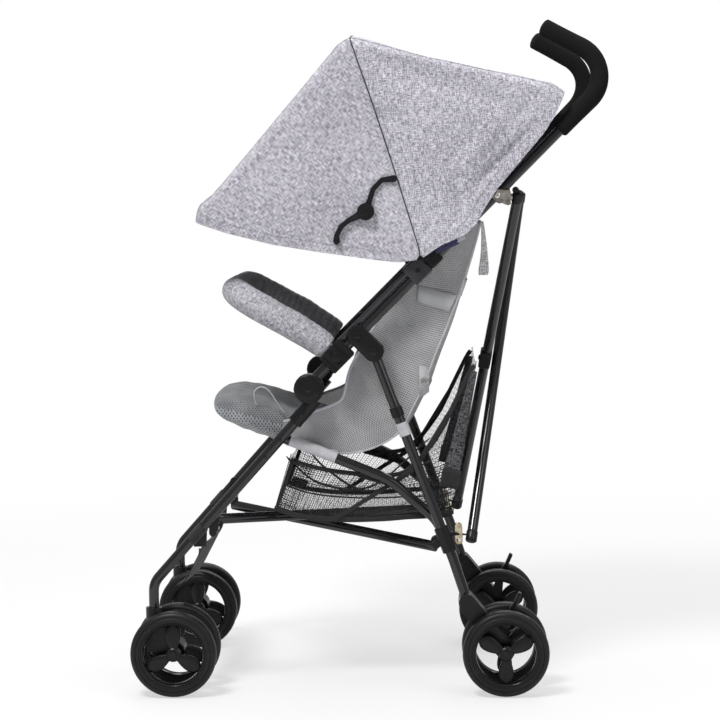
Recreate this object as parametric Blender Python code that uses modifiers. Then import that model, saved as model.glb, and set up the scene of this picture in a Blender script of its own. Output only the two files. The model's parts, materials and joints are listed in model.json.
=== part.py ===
# Umbrella stroller: two folding side frames joined by a tall X frame behind the seat and a
# low X of floor bars, with a two panel sun canopy, a bumper bar, a sling seat and a basket.
# Metres, +Z up. The stroller faces -X, its left side is at -Y, and the origin is on the
# floor under the middle of the bounding box. The unfolded stroller is the rest position.
import math

import bmesh
import bpy
from mathutils import Matrix, Vector

for item in list(bpy.data.objects):
    bpy.data.objects.remove(item, do_unlink=True)

# ---------------------------------------------------------------- driving sizes
CLEAR = 0.0003
FRAME_Y = 0.1755
TUBE_RADIUS = 0.008
TUBE_SIDES = 10
PIN_SIDES = 8

# The handle tube climbs at 45 degrees: z = x + HANDLE_RISE.
HANDLE_RISE = 0.5765
HANDLE_FOOT_X = -0.084
GRIP_START_X = 0.2960
GRIP_CORNER = (0.3935, HANDLE_RISE + 0.3935)
GRIP_CORNER_IN = 0.0155
GRIP_END = (0.2790, HANDLE_RISE + 0.4555)
GRIP_END_IN = 0.0355
GRIP_BEND = 0.053
GRIP_RADIUS = 0.0135
GRIP_OVERHANG = 0.008

# Front leg, its bend above the caster, and the hub that joins it to the handle tube.
LEG_TOP = (-0.0810, HANDLE_RISE - 0.1135)
LEG_CORNER = (-0.3390, 0.1734)
LEG_BEND = 0.035
STEM_BOTTOM = 0.118
HUB = (-0.0913, HANDLE_RISE - 0.0976)
HUB_RADIUS = 0.0235
HUB_INNER = 0.010
HUB_OUTER = 0.0145
SLEEVE_RADIUS = 0.0115
SLEEVE_LENGTH = 0.050
HUB_BOLT = 0.0313
LEG_BOLT = 0.0856
BOLT_RADIUS = 0.0045
BOLT_HEIGHT = 0.0015

# Link bracket that carries the rear leg, and the rear leg.
LINK_X = -0.0149
LEG_PIVOT = (0.0099, HANDLE_RISE - 0.0399)
LINK_RADIUS = 0.0165
PLATE = 0.0025
PIN_RADIUS = 0.003
REAR_KNEE = (0.0268, 0.4914)
REAR_BEND = (0.1319, 0.2082)
REAR_ANKLE = (0.1527, 0.1448)
REAR_FOOT = (0.1560, 0.1350)
FOLD_ANGLE = 40.0

# Wheels: four pairs.
WHEEL_RADIUS = 0.0675
WHEEL_WIDTH = 0.024
WHEEL_OFFSET = 0.0345
RIM_RADIUS = 0.0465
RIM_DEPTH = 0.0025
HUB_CAP_RADIUS = 0.011
AXLE_RADIUS = 0.004
WHEEL_STEPS = 24
FRONT_AXLE_X = -0.3054
REAR_AXLE_X = 0.2124

# Side rail beside the handle tube, with its end block, and the bumper mount.
RAIL_RADIUS = 0.005
RAIL_BLOCK_X = 0.082
BLOCK_LENGTH = 0.035
MOUNT_X = -0.0470
MOUNT_LENGTH = 0.044
MOUNT_HEIGHT = 0.034
MOUNT_WIDTH = 0.0265
MOUNT_INNER = 0.0115
CLAMP_LENGTH = 0.024
CANOPY_PIVOT = (0.0900, HANDLE_RISE + 0.1055)

# Seat tube, hinged on the rear leg.
SEAT_TUBE_GAP = 0.0045
SEAT_PIVOT = (0.1190, 0.2430)
SEAT_FRONT = (-0.1328, 0.3984)

# X frame behind the seat.
TOP_PIVOT = (0.2017, HANDLE_RISE + 0.1999)
X_TOP = (0.2430, HANDLE_RISE + 0.1940)
X_BOTTOM = (0.1520, 0.2465)
X_HALF = 0.163
X_LAYER = 0.009
X_TIP = 0.009
X_REST = 0.0009

# Floor bars, hinged on the rear legs.
FLOOR_RADIUS = 0.007
FLOOR_LAYER = 0.0095
FLOOR_HALF = 0.134
FLOOR_REAR = (0.1050, 0.2320)
FLOOR_FRONT = (-0.2410, 0.2585)

# Canopy, stays, and the soft parts.
BOW_RADIUS = 0.0015
CANOPY_HALF = 0.1980
CANOPY_SKIN = 0.0022
CANOPY_CROWN = 0.014
STAY_THICKNESS = 0.003
STAY_WIDTH = 0.004
KNUCKLE = (0.0, 0.753)
KNUCKLE_RADIUS = 0.0135
STAY_TOP = (0.045, 0.803)
STAY_FOOT = (-0.045, 0.707)
BUMPER_RADIUS = 0.0222
SOFT_HALF = FRAME_Y - 3 * TUBE_RADIUS - SEAT_TUBE_GAP - CLEAR
FABRIC = 0.004
CALF_CLAMP = 0.282

# ---------------------------------------------------------------- collections, materials
parts = bpy.data.collections.new("umbrella_stroller")
tools = bpy.data.collections.new("stroller_cutters")
bpy.context.scene.collection.children.link(parts)
bpy.context.scene.collection.children.link(tools)


def surface(name, colour, metallic, roughness):
    material = bpy.data.materials.new(name)
    material.use_nodes = True
    shader = material.node_tree.nodes["Principled BSDF"]
    shader.inputs["Base Color"].default_value = (*colour, 1.0)
    shader.inputs["Metallic"].default_value = metallic
    shader.inputs["Roughness"].default_value = roughness
    material.diffuse_color = (*colour, 1.0)
    return material


PAINT = surface("frame_paint", (0.012, 0.012, 0.014), 0.0, 0.25)
PLASTIC = surface("black_plastic", (0.010, 0.010, 0.011), 0.0, 0.45)
FOAM = surface("grip_foam", (0.015, 0.015, 0.015), 0.0, 0.85)
TYRE = surface("wheel_black", (0.012, 0.012, 0.012), 0.0, 0.55)
ZINC = surface("zinc_plate", (0.55, 0.53, 0.50), 1.0, 0.35)
HEATHER = surface("heather_grey", (0.42, 0.42, 0.45), 0.0, 0.9)
MESH = surface("seat_mesh", (0.30, 0.31, 0.32), 0.0, 0.85)
NET = surface("basket_net", (0.02, 0.02, 0.02), 0.0, 0.8)


# ---------------------------------------------------------------- shape helpers
def place(name, mesh):
    made = bpy.data.objects.new(name, mesh)
    tools.objects.link(made)
    made.hide_render = True
    made.display_type = "WIRE"
    return made


def weld(mesh):
    shape = bmesh.new()
    shape.from_mesh(mesh)
    bmesh.ops.remove_doubles(shape, verts=shape.verts, dist=1e-6)
    bmesh.ops.recalc_face_normals(shape, faces=shape.faces)
    shape.to_mesh(mesh)
    shape.free()
    return mesh


def as_mesh(curve_object):
    """A mesh object in the place of a curve object, its caps welded."""
    bpy.context.view_layer.update()
    evaluated = curve_object.evaluated_get(bpy.context.evaluated_depsgraph_get())
    mesh = weld(bpy.data.meshes.new_from_object(evaluated))
    made = place(curve_object.name, mesh)
    made.matrix_world = curve_object.matrix_world.copy()
    mesh.transform(made.matrix_world)
    made.matrix_world = Matrix()
    bpy.data.objects.remove(curve_object, do_unlink=True)
    return made


def rounded(points, radii, facet=15.0):
    """A polyline through points whose inner corners are arcs of the given radii."""
    path = [Vector(points[0])]
    for before, corner, after, radius in zip(points, points[1:], points[2:], radii):
        into = (Vector(corner) - Vector(before)).normalized()
        out = (Vector(after) - Vector(corner)).normalized()
        turn = into.angle(out)
        if radius < 1e-6 or turn < 1e-3:
            path.append(Vector(corner))
            continue
        steps = max(1, math.ceil(math.degrees(turn) / facet))
        reach = radius * math.tan(turn / 2)
        centre = Vector(corner) + (out - into).normalized() * (radius / math.cos(turn / 2))
        axis = into.cross(out).normalized()
        arm = Vector(corner) - into * reach - centre
        for step in range(steps + 1):
            path.append(centre + Matrix.Rotation(turn * step / steps, 3, axis) @ arm)
    path.append(Vector(points[-1]))
    return path


def longer(path, start, end):
    """The same path with both ends moved outwards."""
    first = path[0] + (path[0] - path[1]).normalized() * start
    last = path[-1] + (path[-1] - path[-2]).normalized() * end
    return [first, *path[1:-1], last]


def tube(name, path, radius, sides=TUBE_SIDES, taper=None):
    """A round bar along a path. taper gives each point's share of the radius."""
    curve = bpy.data.curves.new(name, "CURVE")
    curve.dimensions = "3D"
    curve.bevel_depth = radius
    curve.bevel_resolution = (sides - 4) // 2
    curve.use_fill_caps = True
    line = curve.splines.new("POLY")
    line.points.add(len(path) - 1)
    for index, point in enumerate(path):
        line.points[index].co = (*point, 1.0)
        if taper:
            line.points[index].radius = taper[index]
    made = bpy.data.objects.new(name, curve)
    tools.objects.link(made)
    return as_mesh(made)


def plate(name, outline, low, high, bevel=0.0):
    """A flat outline of (x, z) points that fills y from low to high."""
    curve = bpy.data.curves.new(name, "CURVE")
    curve.dimensions = "2D"
    curve.fill_mode = "BOTH"
    curve.extrude = abs(high - low) / 2
    line = curve.splines.new("POLY")
    line.use_cyclic_u = True
    line.points.add(len(outline) - 1)
    for index, point in enumerate(outline):
        line.points[index].co = (point[0], point[1], 0.0, 1.0)
    made = bpy.data.objects.new(name, curve)
    tools.objects.link(made)
    made.rotation_euler = (math.pi / 2, 0, 0)
    made.location = (0, (low + high) / 2, 0)
    made = as_mesh(made)
    if bevel:
        edge = made.modifiers.new("Edges", "BEVEL")
        edge.width = bevel
        edge.segments = 1
        edge.limit_method = "ANGLE"
        edge.angle_limit = math.radians(50)
    return made


def discs(*circles, steps=12):
    """The outline that wraps round discs given as (x, z, radius)."""
    points = []
    for x, z, radius in circles:
        for step in range(steps):
            angle = 2 * math.pi * step / steps
            points.append((x + radius * math.cos(angle), z + radius * math.sin(angle)))
    points = sorted(set((round(x, 8), round(z, 8)) for x, z in points))
    hull = []
    for row in (points, points[::-1]):
        side = []
        for point in row:
            while len(side) > 1:
                a, b = side[-2], side[-1]
                if (b[0] - a[0]) * (point[1] - a[1]) > (b[1] - a[1]) * (point[0] - a[0]) + 1e-12:
                    break
                side.pop()
            side.append(point)
        hull += side[:-1]
    return hull


def strip(name, line, widths, low, high):
    """A flat bar along a bent line of (x, z) points, with a half width at each point."""
    sides = [[], []]
    for index, (x, z) in enumerate(line):
        before, after = line[max(index - 1, 0)], line[min(index + 1, len(line) - 1)]
        length = math.dist(before, after)
        square = ((before[1] - after[1]) / length, (after[0] - before[0]) / length)
        reach = widths[index]
        sides[0].append((x + square[0] * reach, z + square[1] * reach))
        sides[1].append((x - square[0] * reach, z - square[1] * reach))
    first, last = line[0], line[-1]
    start = along(first, line[1], -widths[0] * 0.9)
    return plate(name, [start, *sides[0], *sides[1][::-1]], low, high)


def rod(name, start, end, radius, sides=12, tip=None):
    """A cylinder, or with tip a cone, from start to end."""
    start, end = Vector(start), Vector(end)
    mesh = bpy.data.meshes.new(name)
    shape = bmesh.new()
    bmesh.ops.create_cone(shape, cap_ends=True, segments=sides, radius1=radius,
                          radius2=radius if tip is None else tip, depth=(end - start).length)
    turn = (end - start).to_track_quat("Z", "Y").to_matrix().to_4x4()
    shape.transform(Matrix.Translation((start + end) / 2) @ turn)
    shape.to_mesh(mesh)
    shape.free()
    return place(name, mesh)


def ball(name, centre, radius):
    mesh = bpy.data.meshes.new(name)
    shape = bmesh.new()
    bmesh.ops.create_uvsphere(shape, u_segments=12, v_segments=8, radius=radius)
    shape.transform(Matrix.Translation(Vector(centre)))
    shape.to_mesh(mesh)
    shape.free()
    return place(name, mesh)


def block(name, centre, size, tilt=0.0, bevel=0.0):
    """A box whose first side lies along the direction tilt, in degrees above +X."""
    mesh = bpy.data.meshes.new(name)
    shape = bmesh.new()
    bmesh.ops.create_cube(shape, size=1.0)
    shape.transform(Matrix.Diagonal((*size, 1.0)))
    shape.transform(Matrix.Rotation(-math.radians(tilt), 4, "Y"))
    shape.transform(Matrix.Translation(Vector(centre)))
    shape.to_mesh(mesh)
    shape.free()
    made = place(name, mesh)
    if bevel:
        edge = made.modifiers.new("Edges", "BEVEL")
        edge.width = bevel
        edge.segments = 1
    return made


def boolean(target, operation, cutters):
    for cutter in cutters:
        step = target.modifiers.new(operation.title(), "BOOLEAN")
        step.operation = operation
        step.solver = "EXACT"
        step.object = cutter
        cutter.name = target.name + "_tool"
    return target


def join(target, *others):
    return boolean(target, "UNION", others)


def cut(target, *others):
    return boolean(target, "DIFFERENCE", others)


def node(made, name, material, pivot=None, smooth=True):
    """Hands a finished shape over as a named piece whose origin is its joint."""
    tools.objects.unlink(made)
    parts.objects.link(made)
    made.name = name
    made.hide_render = False
    made.display_type = "TEXTURED"
    made.data.materials.clear()
    made.data.materials.append(material)
    if pivot is not None:
        made.data.transform(Matrix.Translation(-Vector(pivot)))
        made.location = pivot
    if smooth:
        made.data.shade_smooth()
        made.data.set_sharp_from_angle(angle=math.radians(40))
    return made


def handle(x):
    """The centre of the handle tube in side view."""
    return (x, x + HANDLE_RISE)


def beside(x, out):
    """A point square to the handle tube, out above its centre line."""
    return (x - out * math.sqrt(0.5), x + HANDLE_RISE + out * math.sqrt(0.5))


def along(start, end, distance):
    """The point at a distance from start towards end, in side view."""
    length = math.dist(start, end)
    share = distance / length
    return (start[0] + (end[0] - start[0]) * share, start[1] + (end[1] - start[1]) * share)


def at(point, y):
    return Vector((point[0], y, point[1]))


# ---------------------------------------------------------------- wheels
def wheel_mesh():
    half = WHEEL_WIDTH / 2
    shoulder = WHEEL_RADIUS - half * 0.38
    step = RIM_RADIUS + (WHEEL_RADIUS - RIM_RADIUS) * 0.45
    profile = [(shoulder, half), (WHEEL_RADIUS, half * 0.5), (WHEEL_RADIUS, -half * 0.5),
               (shoulder, -half), (step, -half), (step - 0.001, RIM_DEPTH - half),
               (RIM_RADIUS, RIM_DEPTH - half), (RIM_RADIUS, half - RIM_DEPTH),
               (step - 0.001, half - RIM_DEPTH), (step, half)]
    mesh = bpy.data.meshes.new("ring_profile")
    edges = [(index, (index + 1) % len(profile)) for index in range(len(profile))]
    mesh.from_pydata([(x, 0.0, z) for x, z in profile], edges, [])
    ring = place("wheel_ring", mesh)
    turn = ring.modifiers.new("Turned", "SCREW")
    turn.axis = "Z"
    turn.steps = WHEEL_STEPS
    turn.render_steps = WHEEL_STEPS
    turn.use_merge_vertices = True
    turn.merge_threshold = 0.00001
    ring.rotation_euler = (math.pi / 2, 0, 0)
    hub = rod("wheel_hub", (0, -half * 0.75, 0), (0, half * 0.75, 0), HUB_CAP_RADIUS)
    spokes = []
    for index in range(3):
        angle = math.radians(90 + 120 * index)
        leaf = [(0.0, 0.006), (0.012, 0.0075), (0.022, 0.0112), (0.033, 0.0115),
                (0.042, 0.0092), (RIM_RADIUS + 0.003, 0.006)]
        leaf += [(r, -w) for r, w in reversed(leaf)]
        outline = [(r * math.cos(angle) - w * math.sin(angle),
                    r * math.sin(angle) + w * math.cos(angle)) for r, w in leaf]
        spokes.append(plate("spoke", outline, -half * 0.3, half * 0.3))
    bore = rod("wheel_bore", (0, -WHEEL_WIDTH, 0), (0, WHEEL_WIDTH, 0), AXLE_RADIUS + CLEAR, PIN_SIDES)
    join(ring, hub, *spokes)
    cut(ring, bore)
    bpy.context.view_layer.update()
    evaluated = ring.evaluated_get(bpy.context.evaluated_depsgraph_get())
    mesh = bpy.data.meshes.new_from_object(evaluated)
    mesh.transform(ring.matrix_world)
    weld(mesh)
    mesh.name = "wheel"
    for used in (ring, hub, bore, *spokes):
        bpy.data.objects.remove(used, do_unlink=True)
    mesh.materials.clear()
    mesh.materials.append(TYRE)
    mesh.shade_smooth()
    mesh.set_sharp_from_angle(angle=math.radians(35))
    return mesh


WHEEL = wheel_mesh()


def wheel(name, x, y, turn):
    made = bpy.data.objects.new(name, WHEEL)
    parts.objects.link(made)
    made.location = (x, y, WHEEL_RADIUS)
    made.rotation_euler = (0, math.radians(turn), 0)


def axle(side, x, y):
    """The axle of one wheel pair, with a head outside each wheel."""
    reach = WHEEL_OFFSET + WHEEL_WIDTH / 2 + CLEAR
    head = AXLE_RADIUS + 0.0025
    ends = [rod("head", (x, y + way * (reach + 0.0001), WHEEL_RADIUS),
                (x, y + way * (WHEEL_OFFSET + WHEEL_WIDTH * 0.375 + CLEAR), WHEEL_RADIUS), head,
                PIN_SIDES)
            for way in (-1, 1)]
    bar = rod("axle", (x, y - reach, WHEEL_RADIUS), (x, y + reach, WHEEL_RADIUS), AXLE_RADIUS,
              PIN_SIDES)
    return [bar, *ends]


# ---------------------------------------------------------------- one side frame
FRONT_DIRECTION = (Vector(LEG_CORNER) - Vector(LEG_TOP)).normalized()
X_NORMAL = Vector((X_TOP[1] - X_BOTTOM[1], 0.0, X_BOTTOM[0] - X_TOP[0])).normalized()
SEAT_TUBE_Y = FRAME_Y - 2 * TUBE_RADIUS - SEAT_TUBE_GAP
BORE = TUBE_RADIUS + CLEAR
RAIL_OUT = TUBE_RADIUS + RAIL_RADIUS + CLEAR
SIDE_HALF = TUBE_RADIUS + CLEAR + PLATE


def bolt(point, y, way, radius=BOLT_RADIUS):
    """A low bolt head on a face whose outside is towards way."""
    return rod("bolt", at(point, y - way * 0.002), at(point, y + way * BOLT_HEIGHT), radius, PIN_SIDES,
               radius * 0.75)


def side_frame(side, s):
    y = s * FRAME_Y
    foot = handle(HANDLE_FOOT_X)
    start = handle(GRIP_START_X)
    handle_path = rounded([at(foot, y), at(start, y), at(GRIP_CORNER, y - s * GRIP_CORNER_IN),
                           at(GRIP_END, y - s * GRIP_END_IN)], [0.08, GRIP_BEND])
    leg_path = rounded([at(LEG_TOP, y), at(LEG_CORNER, y),
                        at((LEG_CORNER[0], STEM_BOTTOM), y)], [LEG_BEND])
    rear_path = rounded([at(LEG_PIVOT, y), at(REAR_KNEE, y), at(REAR_BEND, y),
                         at(REAR_ANKLE, y), at(REAR_FOOT, y)], [0.06, 0.06, 0.06])
    rear_path = longer(rear_path, TUBE_RADIUS * 0.45, 0.0)
    rail_start = beside(MOUNT_X, RAIL_OUT)
    rail_end = beside(RAIL_BLOCK_X, RAIL_OUT)
    rail_path = [at(rail_start, y), at(rail_end, y)]

    def handle_bore():
        return tube("bore", longer(handle_path, CLEAR, CLEAR), BORE)

    # Handle tube and foam grip.
    bar = tube("bar", handle_path, TUBE_RADIUS)
    top_hole = rod("hole", at(TOP_PIVOT, y - 0.02), at(TOP_PIVOT, y + 0.02), PIN_RADIUS + CLEAR, PIN_SIDES)
    cut(bar, top_hole)
    node(bar, side + "_pusher_tube", PAINT)
    corner = at(GRIP_CORNER, y - s * GRIP_CORNER_IN)
    low = corner + (at(start, y) - corner).normalized() * ((at(start, y) - corner).length - 0.006)
    grip_path = rounded([low, corner, at(GRIP_END, y - s * GRIP_END_IN)], [GRIP_BEND])
    tip = (grip_path[-1] - grip_path[-2]).normalized()
    lead = (grip_path[1] - grip_path[0]).normalized()
    grip_path = [grip_path[0], grip_path[0] + lead * 0.002, *grip_path[1:],
                 grip_path[-1] + tip * GRIP_OVERHANG * 0.6, grip_path[-1] + tip * GRIP_OVERHANG]
    shares = [0.86] + [1.0] * (len(grip_path) - 3) + [0.9, 0.6]
    foam = tube("foam", grip_path, GRIP_RADIUS, TUBE_SIDES, shares)
    cut(foam, handle_bore())
    node(foam, side + "_grip", FOAM)

    # Front leg with the catch that the floor bar's front end rests on.
    leg = tube("leg", leg_path, TUBE_RADIUS)
    catch_x = FLOOR_FRONT[0]
    on_leg = along(LEG_TOP, LEG_CORNER, math.dist(LEG_TOP, LEG_CORNER)
                   * (catch_x - LEG_TOP[0]) / (LEG_CORNER[0] - LEG_TOP[0]))
    catch_low = FLOOR_FRONT[1] + FLOOR_LAYER + 0.004
    catch = plate("catch", discs((on_leg[0], on_leg[1], 0.0095),
                                 (catch_x - 0.004, catch_low - 0.020, 0.006)),
                  y - s * (TUBE_RADIUS + 0.001), y - s * 0.002)
    seat_bolt = rod("bolt", at(SEAT_FRONT, y - s * 0.001),
                    at(SEAT_FRONT, s * (SEAT_TUBE_Y + TUBE_RADIUS + CLEAR)), 0.004, 12)
    reach = FLOOR_HALF + FLOOR_RADIUS + CLEAR + 0.0018
    floor_post = rod("post", at((catch_x, FLOOR_FRONT[1]), y - s * 0.004),
                     at((catch_x, FLOOR_FRONT[1]), s * reach), 0.0055, 12)
    leg_bolt = bolt(along(LEG_TOP, LEG_CORNER, LEG_BOLT), y + s * TUBE_RADIUS * 0.93, s, 0.0035)
    join(leg, catch, seat_bolt, floor_post, leg_bolt)
    node(leg, side + "_front_leg", PAINT)

    # Hub with the sleeve that holds the front leg.
    hub = rod("hub", at(HUB, y - s * HUB_INNER), at(HUB, y + s * HUB_OUTER), HUB_RADIUS, 20)
    rim = hub.modifiers.new("Rim", "BEVEL")
    rim.width = 0.0025
    rim.segments = 1
    rim.limit_method = "ANGLE"
    rim.angle_limit = math.radians(60)
    sleeve_end = along(LEG_TOP, LEG_CORNER, SLEEVE_LENGTH)
    sleeve = rod("sleeve", at(LEG_TOP, y), at(sleeve_end, y), SLEEVE_RADIUS, 12)
    join(hub, sleeve, bolt(HUB, y + s * HUB_OUTER, s, 0.005),
         bolt(along(LEG_TOP, LEG_CORNER, HUB_BOLT), y + s * SLEEVE_RADIUS * 0.97, s))
    cut(hub, handle_bore(), tube("bore", longer(leg_path, CLEAR, 0.0), BORE))
    node(hub, side + "_hub", PLASTIC)

    # Link bracket: a block round the handle tube and two cheeks round the rear leg's end.
    link = handle(LINK_X)
    inner, outer = y - s * SIDE_HALF, y + s * SIDE_HALF
    body = plate("link", discs((*link, LINK_RADIUS), (*LEG_PIVOT, LINK_RADIUS)), inner, outer,
                 0.0012)
    angle = math.atan2(REAR_KNEE[1] - LEG_PIVOT[1], REAR_KNEE[0] - LEG_PIVOT[0])
    swing = math.radians(FOLD_ANGLE)
    room = TUBE_RADIUS + 4 * CLEAR
    far = 3 * LINK_RADIUS
    fan = [(LEG_PIVOT[0], LEG_PIVOT[1], room)]
    for way in (angle, angle - swing / 2, angle - swing):
        fan.append((LEG_PIVOT[0] + far * math.cos(way), LEG_PIVOT[1] + far * math.sin(way), room))
    slot = plate("slot", discs(*fan), y - s * BORE, y + s * BORE)
    pin = rod("pin", at(LEG_PIVOT, inner + s * 0.001), at(LEG_PIVOT, outer - s * 0.001),
              PIN_RADIUS, PIN_SIDES)
    channel = block("channel", at(beside(LINK_X, TUBE_RADIUS + LINK_RADIUS), y),
                    (4 * LINK_RADIUS, 2 * (RAIL_RADIUS + CLEAR), 2 * LINK_RADIUS), 45)
    cut(body, slot, handle_bore(), channel)
    join(body, pin, bolt(link, outer, s), bolt(LEG_PIVOT, outer, s))
    node(body, side + "_link_bracket", PLASTIC)

    # Side rail with its end block.
    rail = tube("rail", rail_path, RAIL_RADIUS, 8)
    sleeve_centre = beside(RAIL_BLOCK_X, 0.005)
    sleeve = block("sleeve", at(sleeve_centre, y), (BLOCK_LENGTH, 2 * SIDE_HALF, 0.034), 45, 0.002)
    join(rail, sleeve)
    cut(rail, handle_bore())
    node(rail, side + "_side_rail", PLASTIC)

    # Bumper mount, ribbed along its length, with a socket boss for the bumper bar.
    mount_y = y + s * (MOUNT_WIDTH / 2 - MOUNT_INNER)
    mount = block("mount", at(handle(MOUNT_X), mount_y), (MOUNT_LENGTH, MOUNT_WIDTH, MOUNT_HEIGHT),
                  45, 0.002)
    for share in (-0.3, 0.0, 0.3):
        spot = handle(MOUNT_X + share * MOUNT_LENGTH * math.sqrt(0.5))
        groove = block("groove", at(spot, mount_y + s * MOUNT_WIDTH / 2), (0.005, 0.003, MOUNT_HEIGHT * 2),
                       45)
        cut(mount, groove)
    cut(mount, handle_bore(),
        tube("bore", longer(rail_path, CLEAR, 0.0), RAIL_RADIUS + CLEAR, 8))
    node(mount, side + "_bumper_mount", PLASTIC)

    # Canopy clamp with the stud that the bows turn on.
    clamp_x = RAIL_BLOCK_X + (BLOCK_LENGTH / 2 + CLEAR + CLAMP_LENGTH / 2) * math.sqrt(0.5)
    clamp = block("clamp", at(beside(clamp_x, 0.003), y),
                  (CLAMP_LENGTH, 2 * SIDE_HALF, 0.028), 45, 0.002)
    ear_low = y + s * (SIDE_HALF + CLEAR)
    ear = plate("ear", discs((*beside(clamp_x, 0.003), 0.008), (*CANOPY_PIVOT, 0.007)),
                ear_low, ear_low + s * 0.002)
    bridge = block("bridge", at(beside(clamp_x, 0.003), y + s * (SIDE_HALF + CLEAR / 2)),
                   (0.010, 0.003, 0.012), 45)
    stud = rod("stud", at(CANOPY_PIVOT, ear_low + s * 0.001),
               at(CANOPY_PIVOT, s * (CANOPY_HALF - CANOPY_SKIN - CLEAR)), 0.0025, 12)
    cut(clamp, handle_bore())
    join(clamp, bridge, ear, stud)
    node(clamp, side + "_canopy_clamp", PLASTIC)

    # Rear leg, bracket, housing and brake lever.
    rear = tube("rear", rear_path, TUBE_RADIUS)
    cut(rear, rod("hole", at(LEG_PIVOT, y - 0.02), at(LEG_PIVOT, y + 0.02), PIN_RADIUS + CLEAR, PIN_SIDES))
    pivot = at(LEG_PIVOT, y)
    node(rear, side + "_rear_leg", PAINT, pivot)
    leg_bracket(side, s, y, rear_path)
    rear_housing(side, s, y, rear_path)
    seat_tube(side, s)
    caster(side, s, y, leg_path)
    for name, offset in (("outer", WHEEL_OFFSET), ("inner", -WHEEL_OFFSET)):
        wheel(side + "_front_wheel_" + name, FRONT_AXLE_X, y + s * offset, 0)
        wheel(side + "_rear_wheel_" + name, REAR_AXLE_X, y + s * offset, 60)
    top_bracket(side, s, y)
    floor_bar(side, s)
    canopy_side(side, s)


def leg_bracket(side, s, y, rear_path):
    """Clamp on the rear leg with a pin for the seat tube, a post for the floor bar and a
    stub behind for the tall X bar."""
    slope = (Vector(REAR_BEND) - Vector(REAR_KNEE)).normalized()
    centre = Vector(SEAT_PIVOT)
    low, high = centre + slope * 0.022, centre - slope * 0.018
    sleeve = rod("sleeve", at(low, y), at(high, y), TUBE_RADIUS + PLATE + 0.001, 12)
    seat_side = s * (SEAT_TUBE_Y + TUBE_RADIUS + CLEAR)
    boss = rod("boss", at(SEAT_PIVOT, y), at(SEAT_PIVOT, seat_side), 0.006, 12)
    pin = rod("pin", at(SEAT_PIVOT, y - s * (BORE + 0.001)),
              at(SEAT_PIVOT, s * (SEAT_TUBE_Y - TUBE_RADIUS - 0.001)),
              PIN_RADIUS, PIN_SIDES)
    lug = plate("lug", discs((*FLOOR_REAR, 0.0065), (*SEAT_PIVOT, 0.0065)),
                y - s * (TUBE_RADIUS + 0.003), y - s * 0.002)
    post = rod("post", at(FLOOR_REAR, y - s * 0.004),
               at(FLOOR_REAR, s * (FLOOR_HALF + FLOOR_RADIUS + 0.0015 + CLEAR)), 0.005, 12, 0.0018)
    bar_front = at(X_BOTTOM, s * X_HALF) - X_NORMAL * (s * X_LAYER + TUBE_RADIUS + X_REST)
    stub_start = Vector((SEAT_PIVOT[0], y - s * 0.002, bar_front.z + 0.004))
    stub = rod("stub", stub_start, bar_front, 0.0045, 10, 0.0012)
    join(sleeve, boss, lug, post, stub)
    cut(sleeve, tube("bore", rear_path, BORE))
    join(sleeve, pin)
    node(sleeve, side + "_leg_bracket", PLASTIC, at(LEG_PIVOT, y))


def rear_housing(side, s, y, rear_path):
    """Plastic foot that holds the rear leg's end and the rear axle."""
    half = WHEEL_OFFSET - WHEEL_WIDTH / 2 - 0.005
    top = REAR_ANKLE
    body = plate("housing", discs((*top, 0.0125), (*REAR_FOOT, 0.0135),
                                  (REAR_AXLE_X, WHEEL_RADIUS, 0.0150)), y - s * half, y + s * half)
    pivot = (REAR_AXLE_X + 0.002, WHEEL_RADIUS + 0.040)
    ear = plate("ear", discs((*pivot, 0.007), (REAR_AXLE_X - 0.006, WHEEL_RADIUS + 0.004, 0.012)),
                y - s * half, y - s * (half - 0.006))
    pin = rod("pin", at(pivot, y - s * (half - 0.001)), at(pivot, y + s * 0.004), PIN_RADIUS, PIN_SIDES)
    join(body, ear, pin, *axle(side, REAR_AXLE_X, y))
    cut(body, tube("bore", longer(rear_path, 0.0, CLEAR), BORE))
    node(body, side + "_rear_housing", PLASTIC, at(LEG_PIVOT, y))
    tip = (REAR_AXLE_X + 0.0235, WHEEL_RADIUS + 0.0885)
    mid = along(pivot, tip, 0.030)
    lever = plate("lever", discs((*pivot, 0.0065), (*mid, 0.0045)), y - s * (half - 0.0065), y + s * 0.003)
    pad = block("pad", at(along(pivot, tip, 0.038), y - s * 0.003), (0.030, 0.014, 0.006),
                math.degrees(math.atan2(tip[1] - pivot[1], tip[0] - pivot[0])), 0.001)
    join(lever, pad)
    cut(lever, rod("hole", at(pivot, y - 0.03), at(pivot, y + 0.03), PIN_RADIUS + CLEAR, PIN_SIDES))
    node(lever, side + "_brake_lever", PLASTIC, at(pivot, y))


def seat_tube(side, s):
    y = s * SEAT_TUBE_Y
    path = [at(SEAT_PIVOT, y)]
    for point in ((0.101, 0.272), (0.066, 0.303), (0.043, 0.3235), (0.022, 0.3365),
                  (-0.004, 0.3475), (-0.049, 0.366), (-0.090, 0.383)):
        path.append(at(point, y))
    path.append(at(SEAT_FRONT, y))
    path = longer(path, 0.006, 0.007)
    made = tube("seat_tube", path, TUBE_RADIUS)
    cut(made, rod("hole", at(SEAT_PIVOT, y - 0.02), at(SEAT_PIVOT, y + 0.02),
                  PIN_RADIUS + CLEAR, PIN_SIDES))
    node(made, side + "_seat_tube", PAINT, at(SEAT_PIVOT, y))


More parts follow.
